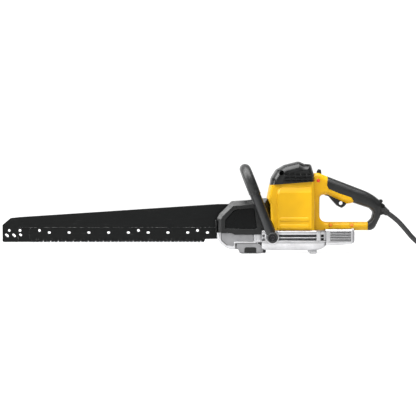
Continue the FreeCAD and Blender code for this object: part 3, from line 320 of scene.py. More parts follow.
def lens_red():
    """A faintly lit red lens with a moulded cell pattern."""
    look = Look("red_lens", specular=0.4, coat=0.4, coat_rough=0.08)
    look.shader.inputs["Emission Strength"].default_value = 0.04
    look.shader.inputs["Emission Color"].default_value = (1.0, 0.2, 0.04, 1)
    bright = linear(214, 66, 22)
    tone = look.mixed(scaled(bright, 0.72), bright, look.ranged(look.cells(700), 0.1, 0.6))
    rough_value = look.ranged(look.noise(400, 2), 0.3, 0.7, 0.14, 0.24)
    return look.finish(tone, rough_value, look.bump(look.cells(700), 0.3, 0.0002))


def plain_name(material):
    """The name without the number that Blender adds to a name in use."""
    return material.name.split(".")[0]


FINISHES = {plain_name(look): look for look in (
    plastic("yellow_plastic", linear(202, 154, 3), 0.4, grain_strength=0.22, worn=1.12, specular=0.28),
    plastic("black_plastic", linear(15, 16, 16), 0.32, worn=3.2, specular=0.4),
    plastic("black_gloss", linear(7, 8, 8), 0.22, grain=1200, grain_strength=0.04, worn=2.5, specular=0.14),
    # Orange plastic as painted shade: it fills the deep screw wells of the yellow handle.
    plastic("orange_recess_shade", linear(226, 132, 24), 0.4, grain_strength=0.2, worn=1.1),
    rubber("grip_rubber", linear(19, 20, 20), 0.4),
    cast_metal("cast_alloy", linear(204, 204, 206), 0.34),
    # Darker copy of the cast finish: painted shade for the sunk nose panels and the shoe.
    cast_metal("cast_painted_shade", linear(158, 158, 160), 0.42, 0.5),
    cast_metal("cast_clear", linear(206, 206, 208), 0.4, 0.3, shade=0.8),
    # Dark copy of the cast finish: painted shade for the case's grooves.
    cast_metal("cast_groove_shade", linear(84, 84, 86), 0.45),
    coated_steel("black_steel", linear(13, 14, 14), 0.4, metallic=0.0, scratch=0.16, specular=0.13),
    bright_metal("carbide", linear(120, 121, 124), 0.42, "X"),
    paint("black_tube", linear(22, 23, 24), 0.32),
    coated_steel("dark_screw", linear(46, 46, 48), 0.4, metallic=0.8, scratch=0.2),
    bright_metal("bright_steel", linear(205, 205, 208), 0.3),
    stacked_sheets("lamination", linear(120, 118, 112), 0.5, 0.0005),
    stacked_sheets("copper", linear(196, 110, 60), 0.35, 0.0008),
    bright_metal("bronze", linear(176, 128, 66), 0.4),
    coated_steel("carbon", linear(40, 40, 42), 0.6, metallic=0.2, scratch=0.1),
    lens_red(),
    rubber("cord_rubber", linear(40, 40, 41), 0.5, grain=2200, strength=0.25),
    plastic("tie_plastic", linear(30, 30, 31), 0.35),
    bright_metal("pin_metal", linear(206, 196, 170), 0.25, "X"),
)}


# Mesh helpers. Outlines are corners (u, v) or (u, v, radius) in millimetres.

def ring(corners, inset=0.0, segments=6):
    """The closed outline of the corners, moved inward by inset, with its corners rounded."""
    count = len(corners)
    spots = [Vector(corner[:2]) for corner in corners]
    radii = [corner[2] if len(corner) > 2 else 0.0 for corner in corners]
    area = sum(spots[i].cross(spots[(i + 1) % count]) for i in range(count))
    turn = 1 if area > 0 else -1
    ways = [(spots[(i + 1) % count] - spots[i]).normalized() for i in range(count)]
    points = []
    for i, spot in enumerate(spots):
        into, out = ways[i - 1], ways[i]
        normal_in = Vector((-into.y, into.x)) * turn
        normal_out = Vector((-out.y, out.x)) * turn
        middle = normal_in + normal_out
        middle /= middle.dot(normal_in)
        spot = spot + middle * inset
        if radii[i] == 0:
            points.append(spot)
            continue
        convex = into.cross(out) * turn > 0
        radius = max(radii[i] - inset if convex else radii[i] + inset, 0.05)
        half = into.angle(out) / 2
        away = middle.normalized() * (1 if convex else -1)
        centre = spot + away * radius / math.cos(half)
        side = turn if convex else -turn
        for step in range(segments + 1):
            angle = half * side * (2 * step / segments - 1)
            cos, sin = math.cos(angle), math.sin(angle)
            arm = -away * radius
            points.append(centre + Vector((arm.x * cos - arm.y * sin, arm.x * sin + arm.y * cos)))
    return points


def placed(points, level, axis):
    """Outline points in millimetres, as points in metres at a level along the axis."""
    if axis == "y":
        return [Vector((p.x, level, p.y)) * MM for p in points]
    if axis == "x":
        return [Vector((level, p.x, p.y)) * MM for p in points]
    return [Vector((p.x, p.y, level)) * MM for p in points]


def rounded_levels(low, high, low_round=0.0, high_round=0.0, steps=5):
    """Levels and insets for a prism from low to high with rounded rims."""
    def quarter(size):
        angles = [math.radians(90 * step / steps) for step in range(steps + 1)] if size else [math.pi / 2]
        return [(size * (1 - math.cos(angle)), size * (1 - math.sin(angle))) for angle in angles]
    below = [(low + rise, inset) for rise, inset in quarter(low_round)]
    above = [(high - drop, inset) for drop, inset in quarter(high_round)]
    return below + above[::-1]


def loft(loops, ends=True):
    """A closed mesh through loops of equally many points."""
    mesh = bmesh.new()
    rings = [[mesh.verts.new(point) for point in loop] for loop in loops]
    for below, above in zip(rings, rings[1:]):
        for i in range(len(below)):
            j = (i + 1) % len(below)
            mesh.faces.new((below[i], below[j], above[j], above[i]))
    if ends:
        mesh.faces.new(rings[0][::-1])
        mesh.faces.new(rings[-1])
    bmesh.ops.recalc_face_normals(mesh, faces=mesh.faces)
    return mesh


def prism(corners, levels, axis="y", segments=6):
    """A closed prism of the outline through (level, inset) steps along the axis."""
    return loft([placed(ring(corners, inset, segments), level, axis) for level, inset in levels])


def block(corners, low, high, axis="y", segments=6):
    """A prism with square rims."""
    return prism(corners, [(low, 0), (high, 0)], axis, segments)


def rectangle(low, high, radius=0.0):
    """The corners of a rectangle between two opposite ones."""
    return [(low[0], low[1], radius), (high[0], low[1], radius),
            (high[0], high[1], radius), (low[0], high[1], radius)]


def circle(u, v, radius):
    """The corners of a square whose rounding makes it a circle."""
    return rectangle((u - radius, v - radius), (u + radius, v + radius), radius)


def slab(x, y, z):
    """A box between the low and high ends of each axis."""
    return block(rectangle((x[0], z[0]), (x[1], z[1])), *y)


def opposite(steps):
    """The same (level, value) steps on the other side of the middle, in rising order."""
    return [(-level, value) for level, value in reversed(steps)]


def lathe(profile, origin, direction, segments=40, closed=True):
    """A turned shape: profile is (distance along, radius), and origin is in millimetres too."""
    origin = Vector(origin)
    along = Vector(direction).normalized()
    side = along.orthogonal().normalized()
    up = along.cross(side)
    loops = []
    for far, radius in profile:
        loops.append([(origin + along * far + (side * math.cos(a) + up * math.sin(a)) * max(radius, 0.02)) * MM
                      for a in (2 * math.pi * i / segments for i in range(segments))])
    return loft(loops, closed)


def turned_across(profile, x, z, segments=40):
    """A shape turned about an axis that runs across the saw."""
    return lathe(profile, (x, 0, z), (0, 1, 0), segments)


def upright(profile, x, y, segments=40):
    """A shape turned about an upright axis."""
    return lathe(profile, (x, y, 0), (0, 0, 1), segments)


def bar(x, z, low, high, radius):
    """A plain round bar across the saw."""
    return turned_across([(low, radius), (high, radius)], x, z, 32)


def mirrored(mesh):
    """A copy of the mesh on the other side of the middle plane."""
    other = mesh.copy()
    for vert in other.verts:
        vert.co.y = -vert.co.y
    bmesh.ops.reverse_faces(other, faces=other.faces)
    return other


def handed(mesh, sign):
    """A copy of a left-hand mesh for the side that sign gives: -1 is left."""
    return mesh.copy() if sign < 0 else mirrored(mesh)


def on_both(*meshes):
    """Copies of the meshes and their mirror images."""
    return [mesh.copy() for mesh in meshes] + [mirrored(mesh) for mesh in meshes]


def as_object(mesh, name):
    """The mesh as an object in the scene; the bmesh is used up."""
    data = bpy.data.meshes.new(name)
    mesh.to_mesh(data)
    mesh.free()
    thing = bpy.data.objects.new(name, data)
    bpy.context.scene.collection.objects.link(thing)
    return thing


def carved(mesh, cutters, operation="DIFFERENCE"):
    """The mesh with the cutters taken out of it, or joined to it, in turn. All the meshes given are used up."""
    for cutter in cutters:
        thing, tool = as_object(mesh, "carved"), as_object(cutter, "cutter")
        step = thing.modifiers.new("cut", "BOOLEAN")
        step.operation = operation
        step.solver = "EXACT"
        step.object = tool
        shape = thing.evaluated_get(bpy.context.evaluated_depsgraph_get())
        mesh = bmesh.new()
        mesh.from_mesh(shape.to_mesh())
        shape.to_mesh_clear()
        for spare in (thing, tool):
            data = spare.data
            bpy.data.objects.remove(spare)
            bpy.data.meshes.remove(data)
    return mesh


def soften(thing, width, angle=32):
    """A small rounded edge wherever two faces meet sharply, with even shading on the flats."""
    if width:
        edge = thing.modifiers.new("edge", "BEVEL")
        edge.width = width * MM
        edge.segments = 2
        edge.limit_method = "ANGLE"
        edge.angle_limit = math.radians(angle)
        edge.use_clamp_overlap = True
        edge.harden_normals = False
        edge.miter_outer = "MITER_ARC"
    shade = thing.modifiers.new("shade", "WEIGHTED_NORMAL")
    shade.keep_sharp = True


def piece(name, mesh, finish, nodes, edge, angle, body="saw"):
    """A finished piece of the object that rides on a body and stands for CAD nodes."""
    bmesh.ops.remove_doubles(mesh, verts=mesh.verts, dist=2e-6)
    bmesh.ops.dissolve_degenerate(mesh, edges=mesh.edges, dist=1e-6)
    bmesh.ops.recalc_face_normals(mesh, faces=mesh.faces)
    thing = as_object(mesh, name)
    thing.data.shade_smooth()
    thing.data.materials.append(FINISHES[finish])
    soften(thing, edge, angle)
    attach(thing, body)
    if nodes:
        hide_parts(*nodes)
    return thing


# The cord, its coil and its plug come first.

ROUTE = [
    (0.271265, 0.0, 0.079153), (0.2862, 0.0, 0.0691), (0.3039, -0.0006, 0.0501), (0.3215, -0.0022, 0.0283),
    (0.3406, -0.0046, 0.0136), (0.3658, -0.0070, 0.0072), (0.3930, -0.0087, 0.0063), (0.4210, -0.0090, 0.0062),
]
COIL_X, COIL_Y = 0.445, 0.066
LOW_RADII = (0.075, 0.065, 0.055, 0.045, 0.035)
HIGH_RADII = LOW_RADII[::-1]
LOW_TURNS, ALL_TURNS = 4.25, 9.25
LOW_TURN, HIGH_TURN = 0.0062, 0.0162
POINTS_PER_TURN = 18
PLUG_END = [(0.520, 0.079, 0.0166), (0.520, 0.092, 0.0170), (0.520, 0.100, 0.0170)]


def eased(share):
    """A smooth step from 0 to 1."""
    share = min(max(share, 0.0), 1.0)
    return share * share * (3 - 2 * share)


def stepped(radii, turns):
    """The winding radius after so many turns of one layer, shifting to the next near each turn's end."""
    turn = min(int(turns), len(radii) - 1)
    following = radii[min(turn + 1, len(radii) - 1)]
    return radii[turn] + (following - radii[turn]) * eased((turns - turn - 0.8) / 0.2)


def coil_points():
    """Winds inward on the floor, then outward again on top, ending at the plug's side."""
    points = []
    for index in range(int(ALL_TURNS * POINTS_PER_TURN) + 1):
        turns = index / POINTS_PER_TURN
        low = turns < LOW_TURNS
        radius = stepped(LOW_RADII, turns) if low else stepped(HIGH_RADII, turns - LOW_TURNS)
        height = LOW_TURN + (HIGH_TURN - LOW_TURN) * eased((turns - LOW_TURNS + 0.05) / 0.42)
        angle = math.radians(-90) + 2 * math.pi * turns
        points.append((COIL_X + radius * math.cos(angle), COIL_Y + radius * math.sin(angle), height))
    return points


def make_cord():
    """One open curve from the handle to the plug."""
    points = ROUTE + coil_points() + PLUG_END
    data = bpy.data.curves.new("mains_cord", "CURVE")
    data.dimensions = "3D"
    spline = data.splines.new("NURBS")
    spline.points.add(len(points) - 1)
    for spot, point in zip(spline.points, points):
        spot.co = (*point, 1.0)
    spline.order_u = 3
    spline.use_endpoint_u = True
    spline.resolution_u = 8
    data.bevel_depth = 0.005
    data.bevel_resolution = 5
    data.use_fill_caps = True
    data.materials.append(FINISHES["cord_rubber"])
    cord = bpy.data.objects.new("mains_cord", data)
    bpy.context.scene.collection.objects.link(cord)
    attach(cord, "saw")
    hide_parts("cord", "cord_coil")
    return cord


mains_cord = make_cord()
nodes = frame["nodes"]

# Surfaces of the handle and its grip. Side views are (x, z) in millimetres.

SIDES = (("left", -1), ("right", 1))
HANDLE_OUTLINE = [(122.8, 46.8), (122.8, 159, 2), (131, 160, 8), (238, 119, 105), (262, 98.5, 14), (256, 73, 30),
                  (242.5, 45, 15), (204, 45), (204, 49), (150.8, 49), (150.8, 46.8)]
HAND_OPENING = [(134.2, 62.2, 13), (134.2, 116, 7), (150, 116, 6), (190, 97.6, 4), (201, 100.2, 3), (233, 89.4, 8),
                (240.4, 82, 6), (237.4, 69.6, 8), (230, 62.2, 4)]
GRIP_REGION = [(154, 190), (148.4, 135.2, 3), (151.8, 128, 3), (173, 119), (196.4, 111.4, 4), (200.8, 105, 2),
               (200.8, 90), (230, 76), (230, 30), (285, 30), (285, 190)]
TRIGGER_ROOM = [(141.0, 110.0), (141.0, 126.0), (156.0, 129.0), (194.6, 115.0), (194.6, 90.0)]
HANDLE_SCREWS = [(156, 56), (198, 56)]
SCREW_WELL = [(-20, 5.0), (-13.7, 4.4), (-13.2, 3.7), (-10.6, 3.7)]
MIDDLE_GAP = 0.06
NET_STEP, NET_COLUMNS, NET_ROWS = 3.0, 60, 52
SAME_SPOT = 0.8
LENS, LENS_RADIUS = (131, 144.6), 3.7


def dense(corners, inset, segments):
    """The rounded outline with no edge longer than the net's step."""
    points = ring(corners, inset, segments)
    result = []
    for here, there in zip(points, points[1:] + points[:1]):
        parts = max(1, math.ceil((there - here).length / NET_STEP))
        result += [here.lerp(there, i / parts) for i in range(parts)]
    return result


def inside(point, polygon):
    """Whether the polygon holds the point, by counting crossings."""
    within = False
    x, z = point
    for here, there in zip(polygon, polygon[1:] + polygon[:1]):
        if (here.y > z) != (there.y > z):
            if x < here.x + (z - here.y) * (there.x - here.x) / (there.y - here.y):
                within = not within
    return within


def runs(polygon, skip=None):
    """The outline's edges as (start, direction, squared length), leaving out those that skip names."""
    edges = []
    for here, there in zip(polygon, polygon[1:] + polygon[:1]):
        if skip is None or not skip(here, there):
            way = there - here
            if way.length_squared > 1e-9:
                edges.append((here, way, way.length_squared))
    return edges


def distance(point, edges):
    """From the point to the nearest of the edges."""
    best = 1e9
    for here, way, squared in edges:
        share = min(max((point - here).dot(way) / squared, 0.0), 1.0)
        best = min(best, (point - here - way * share).length_squared)
    return math.sqrt(best)


def bulge(share):
    """Quarter-ellipse rise from 0 at an edge to 1 well inside it."""
    share = min(max(share, 0.0), 1.0)
    return math.sqrt(1 - (1 - share) ** 2)


def handle_depth(point, outer, opening, seam):
    """How far the handle's surface stands from its middle plane, in millimetres."""
    x, z = point
    slim = eased((x - 146) / 14) * eased((246 - x) / 14) * eased((74 - z) / 12)
    half = 17.0 - 3.0 * slim
    front = eased((150 - x) / 16)
    rim = 3.2 + 5.5 * front
    outer_reach = 13.0 - 5.0 * front - 4.0 * slim
    rise = bulge(distance(point, outer) / outer_reach) * bulge(distance(point, opening) / (7.0 - 1.5 * front))
    depth = rim + (half - rim) * rise
    return depth - 0.7 * (1 - bulge(distance(point, seam) / 1.1))


def handle_net(outline, opening, region):
    """Points and faces over the side view that follow all three outlines and are finer near them."""
    every = runs(outline) + runs(opening) + runs(region)
    points, edges = [], []
    for loop in (outline, opening, region):
        first = len(points)
        points += loop
        edges += [(first + i, first + (i + 1) % len(loop)) for i in range(len(loop))]
    extra = []
    for inset in (0.4, 1.1, 2.1, 3.5, 5.4, 7.8, 10.6):
        extra += [(point, inset) for point in dense(HANDLE_OUTLINE, inset, 8)]
        if inset < 6:
            extra += [(point, inset) for point in dense(HAND_OPENING, -inset, 8)]
    for inset in (0.35, 0.9):
        for way in (inset, -inset):
            extra += [(point, inset) for point in dense(GRIP_REGION, way, 5)]
    for i in range(NET_COLUMNS):
        for j in range(NET_ROWS):
            extra.append((Vector((122 + 2.6 * i + 1.3 * (j % 2), 44 + 2.4 * j)), 1.6))
    cells = {}
    for point, clear in extra:
        if inside(point, outline) and not inside(point, opening):
            if distance(point, every) > 0.85 * min(clear, 1.6):
                cells.setdefault((round(point.x / SAME_SPOT), round(point.y / SAME_SPOT)), point)
    points += list(cells.values())
    spots, _, faces, *_ = geometry.delaunay_2d_cdt(points, edges, [], 0, 0.01, False)
    return spots, faces


def left_half(spots, faces, depth_at):
    """A closed mesh from the middle plane out to the handle's surface, over some faces of the net."""
    mesh = bmesh.new()
    tops, bases, sides = {}, {}, {}
    for face in faces:
        for i in face:
            if i not in tops:
                x, z = spots[i]
                tops[i] = mesh.verts.new(Vector((x, -depth_at(spots[i]), z)) * MM)
                bases[i] = mesh.verts.new(Vector((x, -MIDDLE_GAP, z)) * MM)
    for face in faces:
        mesh.faces.new([tops[i] for i in face])
        mesh.faces.new([bases[i] for i in reversed(face)])
        sides.update(dict.fromkeys(zip(face, face[1:] + face[:1])))
    for a, b in sides:
        if (b, a) not in sides:
            mesh.faces.new((tops[b], tops[a], bases[a], bases[b]))
    bmesh.ops.recalc_face_normals(mesh, faces=mesh.faces)
    return mesh


def handle_meshes():
    """The left halves of the yellow shell and of the grip cover, cut apart along the grip's edge."""
    outline = dense(HANDLE_OUTLINE, 0, 8)
    opening = dense(HAND_OPENING, 0, 8)
    region = dense(GRIP_REGION, 0, 5)

    def square(a, b):
        """The edges against the motor and over the tail, which aren't rounded."""
        return max(a.x, b.x) < 123.0 or (max(a.y, b.y) < 49.2 and max(a.x, b.x) < 204.5)

    edges = runs(outline, square), runs(opening), runs(region)
    spots, faces = handle_net(outline, opening, region)
    halves = []
    for grip in (False, True):
        used = []
        for face in faces:
            centre = sum((spots[i] for i in face), Vector((0, 0))) / len(face)
            if inside(centre, outline) and not inside(centre, opening) and inside(centre, region) == grip:
                used.append(face)
        halves.append(left_half(spots, used, lambda spot: handle_depth(spot, *edges)))
    return halves


def make_handle():
    """Both halves of the shell and of the grip, with room for the trigger, button, lens and cord."""
    shell, grip = handle_meshes()
    for side, sign in SIDES:
        past_middle, trigger_half, button_half = sign * -1.0, sign * 8.5, sign * 5.4
        trigger_room = block(TRIGGER_ROOM, *sorted((trigger_half, past_middle)))
        button_slot = block(rectangle((128.6, 148), (138.4, 175)), *sorted((button_half, past_middle)))
        shell_cuts = [trigger_room.copy(), button_slot]
        if side == "left":
            shell_cuts.append(bar(*LENS, -20.0, -13.0, LENS_RADIUS))
            shell_cuts += [turned_across(SCREW_WELL, x, z, 28) for x, z in HANDLE_SCREWS]
        grip_cuts = [trigger_room, lathe([(250.6, 14.7), (262.5, 14.7)], (0, 0, 91.6), (1, 0, 0))]
        piece("handle_half_" + side, carved(handed(shell, sign), shell_cuts), "yellow_plastic",
              ["handle_shell_" + side], 0.35, 50)
        piece("grip_half_" + side, carved(handed(grip, sign), grip_cuts), "grip_rubber",
              ["grip_cover_" + side], 0.35, 50)


def make_screw_well_shades():
    """Orange plugs deep in the two lower handle screw wells: painted shade of the recesses."""
    profile = [(-14.6, 0.0), (-14.6, 1.2), (-14.1, 1.5), (-14.1, 2.7), (-13.9, 3.3), (-13.3, 3.55)]
    for name, (x, z) in zip(("screw_well_shade_front", "screw_well_shade_rear"), HANDLE_SCREWS):
        piece(name, turned_across(profile, x, z, 32), "orange_recess_shade", [], 0, 60)


def make_trigger():
    """A curved lever with a finger hole and a pin hole."""
    outline = [(144.4, 115.0, 2), (152.0, 113.4, 3), (159.4, 104.6, 4), (168.6, 94.6, 4), (178.4, 89.6, 4),
               (184.0, 93.4, 3), (189.4, 99.6, 1), (189.6, 104.0, 2), (152.0, 122.4, 3), (144.0, 122.6, 2)]
    body = prism(outline, rounded_levels(-8, 8, 2.4, 2.4))
    flare = [(-9, 5.6), (-8.0, 5.0), (-7.0, 4.3), (-6, 3.8)]
    finger = turned_across(flare + opposite(flare), 176.8, 99.4)
    pin = bar(147.5, 120.6, -9, 9, 2.04)
    piece("trigger_lever", carved(body, [finger, pin]), "black_plastic", ["trigger"], 0.3, 45, "trigger")


def make_button():
    """The lock-off slide: a hooked stem on a foot, with three grooves for the thumb."""
    side_view = [(129, 151.4), (129, 163.0, 2), (131.8, 167.6, 1.4), (137.0, 166.4, 1.6), (138, 160, 3),
                 (138, 151.4)]
    stem = prism(side_view, rounded_levels(-5, 5, 1.6, 1.6))
    foot = block(rectangle((127.4, -6.6), (139.6, 6.6)), 148.6, 151.6, "z")
    grooves = [bar(x, z, -6, 6, 0.6) for x, z in ((132.6, 167.7), (134.4, 167.3), (136.0, 166.9))]
    body = carved(carved(stem, [foot], "UNION"), grooves)
    piece("lock_off_slide", body, "black_plastic", ["lock_off_button"], 0.3, 45, "lock_off_button")


# The motor's cap and housing meet along one sloping joint. WHOLE_WIDTH spans the saw, CHANNEL the blades' way.

JOINT_LINE = [(20, 135.0), (35.4, 136.2), (122.2, 143.0), (140, 144.4)]
WHOLE_WIDTH, CHANNEL = (-60, 60), (-14, 14)
CAP_OUTLINE = [(35.4, 96), (35.4, 136.2), (37.6, 150, 20), (47.5, 166, 14), (64, 175.6, 20), (92, 182.8, 8),
               (103, 177.8, 5), (116, 177.2, 5), (121.4, 158, 8), (122.2, 143), (122.2, 96)]
CAP_HALF, CAP_ROOM_HALF, CAP_JACKET_HALF = 46, 39.4, 47.4
POST_Y = 33.0
CAP_POSTS = [(57.6, 152.0, 166, 9.0), (107.4, 168.0, 169.0, 6.5)]
VENT_ROWS, VENT_COLUMNS, VENT_ROW_STEP, VENT_COLUMN_STEP = 3, 5, 5.8, 11.2


def cap_cuts(dome):
    """The sunk side walls and the vents on both sides."""
    wall = [(63.0, 120), (61.4, 147.0, 4), (66.0, 154.2, 6), (82.0, 161.2, 12), (102.0, 166.0, 20), (126.0, 168.6),
            (126.0, 120)]
    cuts = on_both(prism(wall, [(-50, -1.0), (-46, -1.0), (-44.4, 0), (-44.4, 0.01)]))
    flare = [(-60, -1.2), (-46.2, -0.9), (-44.5, -0.9), (-43.8, 0), (-40.2, 0)]
    for row in range(VENT_ROWS):
        for i in range(VENT_COLUMNS):
            x, z = 69.6 + VENT_COLUMN_STEP * i - 1.2 * row, 146.4 + VENT_ROW_STEP * row
            slot = rectangle((x - 4.4, z - 1.7), (x + 4.4, z + 1.7), 1.0)
            cuts += [prism(slot, flare), prism(slot, opposite(flare))]
    return cuts


def cap_lips(dome, hollow):
    """The left side's louvre lips under each row of vents, trimmed to just outside the shell."""
    lips = []
    for row in range(VENT_ROWS):
        z = 143.6 + VENT_ROW_STEP * row
        lip = [(-30, z + 1.1), (-44.0, z + 1.1), (-47.2, z - 0.6), (-47.2, z - 1.3), (-30, z - 1.2)]
        lips.append(block(lip, 62.4 - 0.4 * row, 122.0, "x"))
    coarse = dome[::2] + opposite(dome[::2])
    jacket = prism(CAP_OUTLINE, [(level * CAP_JACKET_HALF / CAP_HALF, inset - 1.3) for level, inset in coarse],
                   segments=10)
    return carved(carved(carved(lips[0], lips[1:], "UNION"), [jacket], "INTERSECT"), [hollow])


def make_cap():
    """Vented motor cap: a domed shell with sunk screws and three rows of louvred slots on each side."""
    dome = []
    for step in range(13):
        angle = math.radians(90 * step / 12)
        dome.append((-CAP_HALF + 27 * (1 - math.cos(angle)), 14.5 * (1 - math.sin(angle)) ** 1.15))
    coarse = dome[::3] + opposite(dome[::3])
    outer = prism(CAP_OUTLINE, dome + opposite(dome), segments=10)
    room = prism(CAP_OUTLINE, [(level * CAP_ROOM_HALF / CAP_HALF, inset + 3.4) for level, inset in coarse],
                 segments=10)
    hollow = room.copy()
    shell = carved(outer, [room] + cap_cuts(dome))
    lips = cap_lips(dome, hollow)
    shell = carved(shell, [lips.copy(), mirrored(lips)], "UNION")
    posts, sinks, shafts = [], [], []
    for sign in (-1, 1):
        x, head, *_ = CAP_POSTS[1]
        sinks.append(upright([(head, 4.3), (head + 30, 5.0)], x, sign * POST_Y, 28))
        sinks.append(lathe([(0, 0.4), (0.01, 4.2), (9.0, 4.8), (24, 5.6)], (57.6, sign * 37.2, 153.6),
                           (-0.1, sign * 0.72, 0.68), 32))
    for x, head, top, radius in CAP_POSTS:
        for sign in (-1, 1):
            posts.append(upright([(120, radius), (top, radius)], x, sign * POST_Y, 28))
            shafts.append(upright([(110, 2.1), (head + 1, 2.1)], x, sign * POST_Y, 16))
    below_joint = block(JOINT_LINE + [(140, 60), (20, 60)], *WHOLE_WIDTH)
    shell = carved(carved(shell, posts, "UNION"), sinks + shafts + [below_joint])
    piece("vented_cap", shell, "black_plastic", ["motor_cap"], 0.5, 38)


HOUSING = [(36.4, 20), (36.4, 70, 12), (35.4, 97.6, 4), (30.2, 109, 4), (35.4, 136, 4), (36.6, 170), (122.4, 170),
           (122.4, 20)]


def make_housing():
    """Yellow motor housing: rounded corners and a raised panel whose broad upper bevel catches the light."""
    outer = prism(HOUSING, rounded_levels(-42.0, 42.0, 6.5, 6.5, 6), segments=8)
    panel_low = [(47.6, 48.6, 5), (47.6, 123.5, 5), (55.6, 132.0, 4), (117.4, 132.4, 4), (117.4, 48.6, 4)]
    panel_high = [(49.6, 50.8, 4), (49.6, 118.0, 2), (53.4, 120.8, 2), (115.6, 120.8, 3), (115.6, 50.8, 3)]
    steps = [(panel_low, 0, -40), (panel_low, 0, -42.1), (panel_low, 0.5, -42.7), (panel_high, -0.5, -45.8),
             (panel_high, 0, -46.0)]
    panel = loft([placed(ring(corners, inset), level, "y") for corners, inset, level in steps])
    ribs = [prism(rectangle((52.6, z - 4), (112.0, z + 4), 4),
                  [(-44, 0), (-46.1, 0.0), (-46.7, 0.5), (-47.2, 1.3), (-47.45, 2.4)], segments=8)
            for z in (54.8, 68.6)]
    shell = carved(carved(outer, on_both(panel), "UNION"), on_both(*ribs), "UNION")
    room = block([(40.4, 10), (40.4, 180), (118.8, 180), (118.8, 10)], -39.6, 39.6)
    above_joint = block(JOINT_LINE + [(140, 190), (20, 190)], *WHOLE_WIDTH)
    base = slab((20, 140), WHOLE_WIDTH, (0, 46.6))
    toe = block([(20, 46), (45.0, 46), (45.0, 46.6), (36.4, 70.0, 12), (20, 72)], *WHOLE_WIDTH)
    shell = carved(shell, [room, above_joint, base, toe])
    piece("motor_shell", shell, "yellow_plastic", ["motor_housing"], 0.6, 34)


# The bail: a tube bent over twice, whose eyes are bolted to the gear case.

EYE_X, EYE_Z = 38.4, 33.4
BAIL_EYE = Vector((EYE_X, 0, EYE_Z))
BAIL_TOP = Vector((-14, 0, 167.2))
BAIL_HALF, BAIL_BEND = 58.0, 30.0
BAIL_FOOT, SLEEVE_FOOT = 9.0, 89.7
BAIL_RADIUS = 9.4


def bail_path(heights, bend_steps):
    """(y, distance up the leg) along the bail: up the left leg, round both bends, down the right leg."""
    length = (BAIL_TOP - BAIL_EYE).length
    straight = length - BAIL_BEND
    left = [(-BAIL_HALF, far) for far in heights]
    for step in range(bend_steps + 1):
        angle = math.radians(90 * step / bend_steps)
        left.append((-BAIL_HALF + BAIL_BEND * (1 - math.cos(angle)), straight + BAIL_BEND * math.sin(angle)))
    left += [(y, length) for y in (-21, -14, -7)]
    return left + [(0, length)] + [(-y, far) for y, far in reversed(left)]


def bail_sweep(path, radius_at, segments):
    """A round body along the path. radius_at gives its radius from the distance to the nearer end."""
    up = (BAIL_TOP - BAIL_EYE).normalized()
    across = up.cross(Vector((0, 1, 0))).normalized()
    spots = [BAIL_EYE + Vector((0, y, 0)) + up * far for y, far in path]
    loops, gone = [], 0.0
    total = sum((b - a).length for a, b in zip(spots, spots[1:]))
    for i, spot in enumerate(spots):
        if i:
            gone += (spot - spots[i - 1]).length
        ahead = (spots[min(i + 1, len(spots) - 1)] - spots[max(i - 1, 0)]).normalized()
        outward = ahead.cross(across)
        radius = radius_at(min(gone, total - gone))
        loops.append([(spot + (outward * math.cos(a) + across * math.sin(a)) * radius) * MM
                      for a in (2 * math.pi * j / segments for j in range(segments))])
    return loft(loops)


def sleeve_radius(far):
    """The soft sleeve: a rounded lip at each end, then two grooves."""
    if far < 1.2:
        return 9.6 + 0.7 * bulge(far / 1.2)
    groove = 0.45 if 4.0 < far < 5.2 or 7.0 < far < 8.2 else 0.0
    return 10.3 - groove


def make_bail():
    """The bent tube with its eyes, and the soft sleeve over it."""
    straight = (BAIL_TOP - BAIL_EYE).length - BAIL_BEND
    steps = int((straight - BAIL_FOOT) / 4)
    heights = [BAIL_FOOT + (straight - BAIL_FOOT) * i / steps for i in range(steps)]
    tube = bail_sweep(bail_path(heights, 14), lambda far: BAIL_RADIUS, 32)
    profile = [(47, 9.0), (47, 9.6), (47.8, 10.4), (66.8, 10.4), (67.8, 9.9), (68.2, 9.0), (68.2, 7.9), (67.8, 7.2),
               (67.0, 7.0), (61.0, 7.0), (61.0, 4.0), (47.0, 4.0), (47, 9.0)]
    eyes = []
    for sign in (-1, 1):
        eye = lathe(profile, (EYE_X, 0, EYE_Z), (0, sign, 0), 40, closed=False)
        bmesh.ops.remove_doubles(eye, verts=eye.verts, dist=1e-6)
        eyes.append(eye)
    bores = [bar(EYE_X, EYE_Z, low, high, radius) for low, high, radius in
             ((-70, -61.0, 7.0), (61.0, 70, 7.0), (-62, -40, 4.0), (40, 62, 4.0))]
    piece("bail_frame", carved(carved(tube, bores), eyes, "UNION"), "black_tube", ["bail_tube"], 0.5, 45)
    rings = (0, 0.3, 0.7, 1.2, 3.9, 4.05, 5.15, 5.3, 6.9, 7.05, 8.15, 8.3, 12, 16, 20)
    sleeve = bail_sweep(bail_path([SLEEVE_FOOT + far for far in rings], 18), sleeve_radius, 40)
    piece("bail_sleeve", sleeve, "grip_rubber", ["bail_grip"], 0, 60)


# The front: black guards over the nose casting.

GUARD = [(-70.2, 20), (-70.2, 70, 6), (-65, 79.6, 3), (-41, 102.9, 3), (-4, 105.6, 20), (20, 108.8, 14),
         (29.8, 109), (35, 97.4, 4), (36, 70, 12), (44.4, 46.8), (50, 32), (50, 20)]
GUARD_BELOW = [(-90, 41.8), (-42.2, 41.6), (-35.2, 38.2), (17.8, 38.2), (17.8, 46.8), (60, 46.8), (60, 0), (-90, 0)]
GUARD_ROOM = [(-66, 30), (-66, 71), (-40, 98.6), (-4, 101.6), (26, 104.6), (31.4, 96), (32, 60), (36, 50), (18, 50),
              (18, 30)]
PANE = [(-53.4, 50, 2), (-53.4, 67, 4), (-37.2, 85.4, 5), (-29.6, 87.8, 5), (4, 90.2, 5), (8.6, 48.6, 3)]
CLAMP_HOLES = [(-34, 80), (6, 80)]
CLAMP_RADIUS, HEAD_ROOM, PANE_ROOM = 3.1, 5.8, 6.2


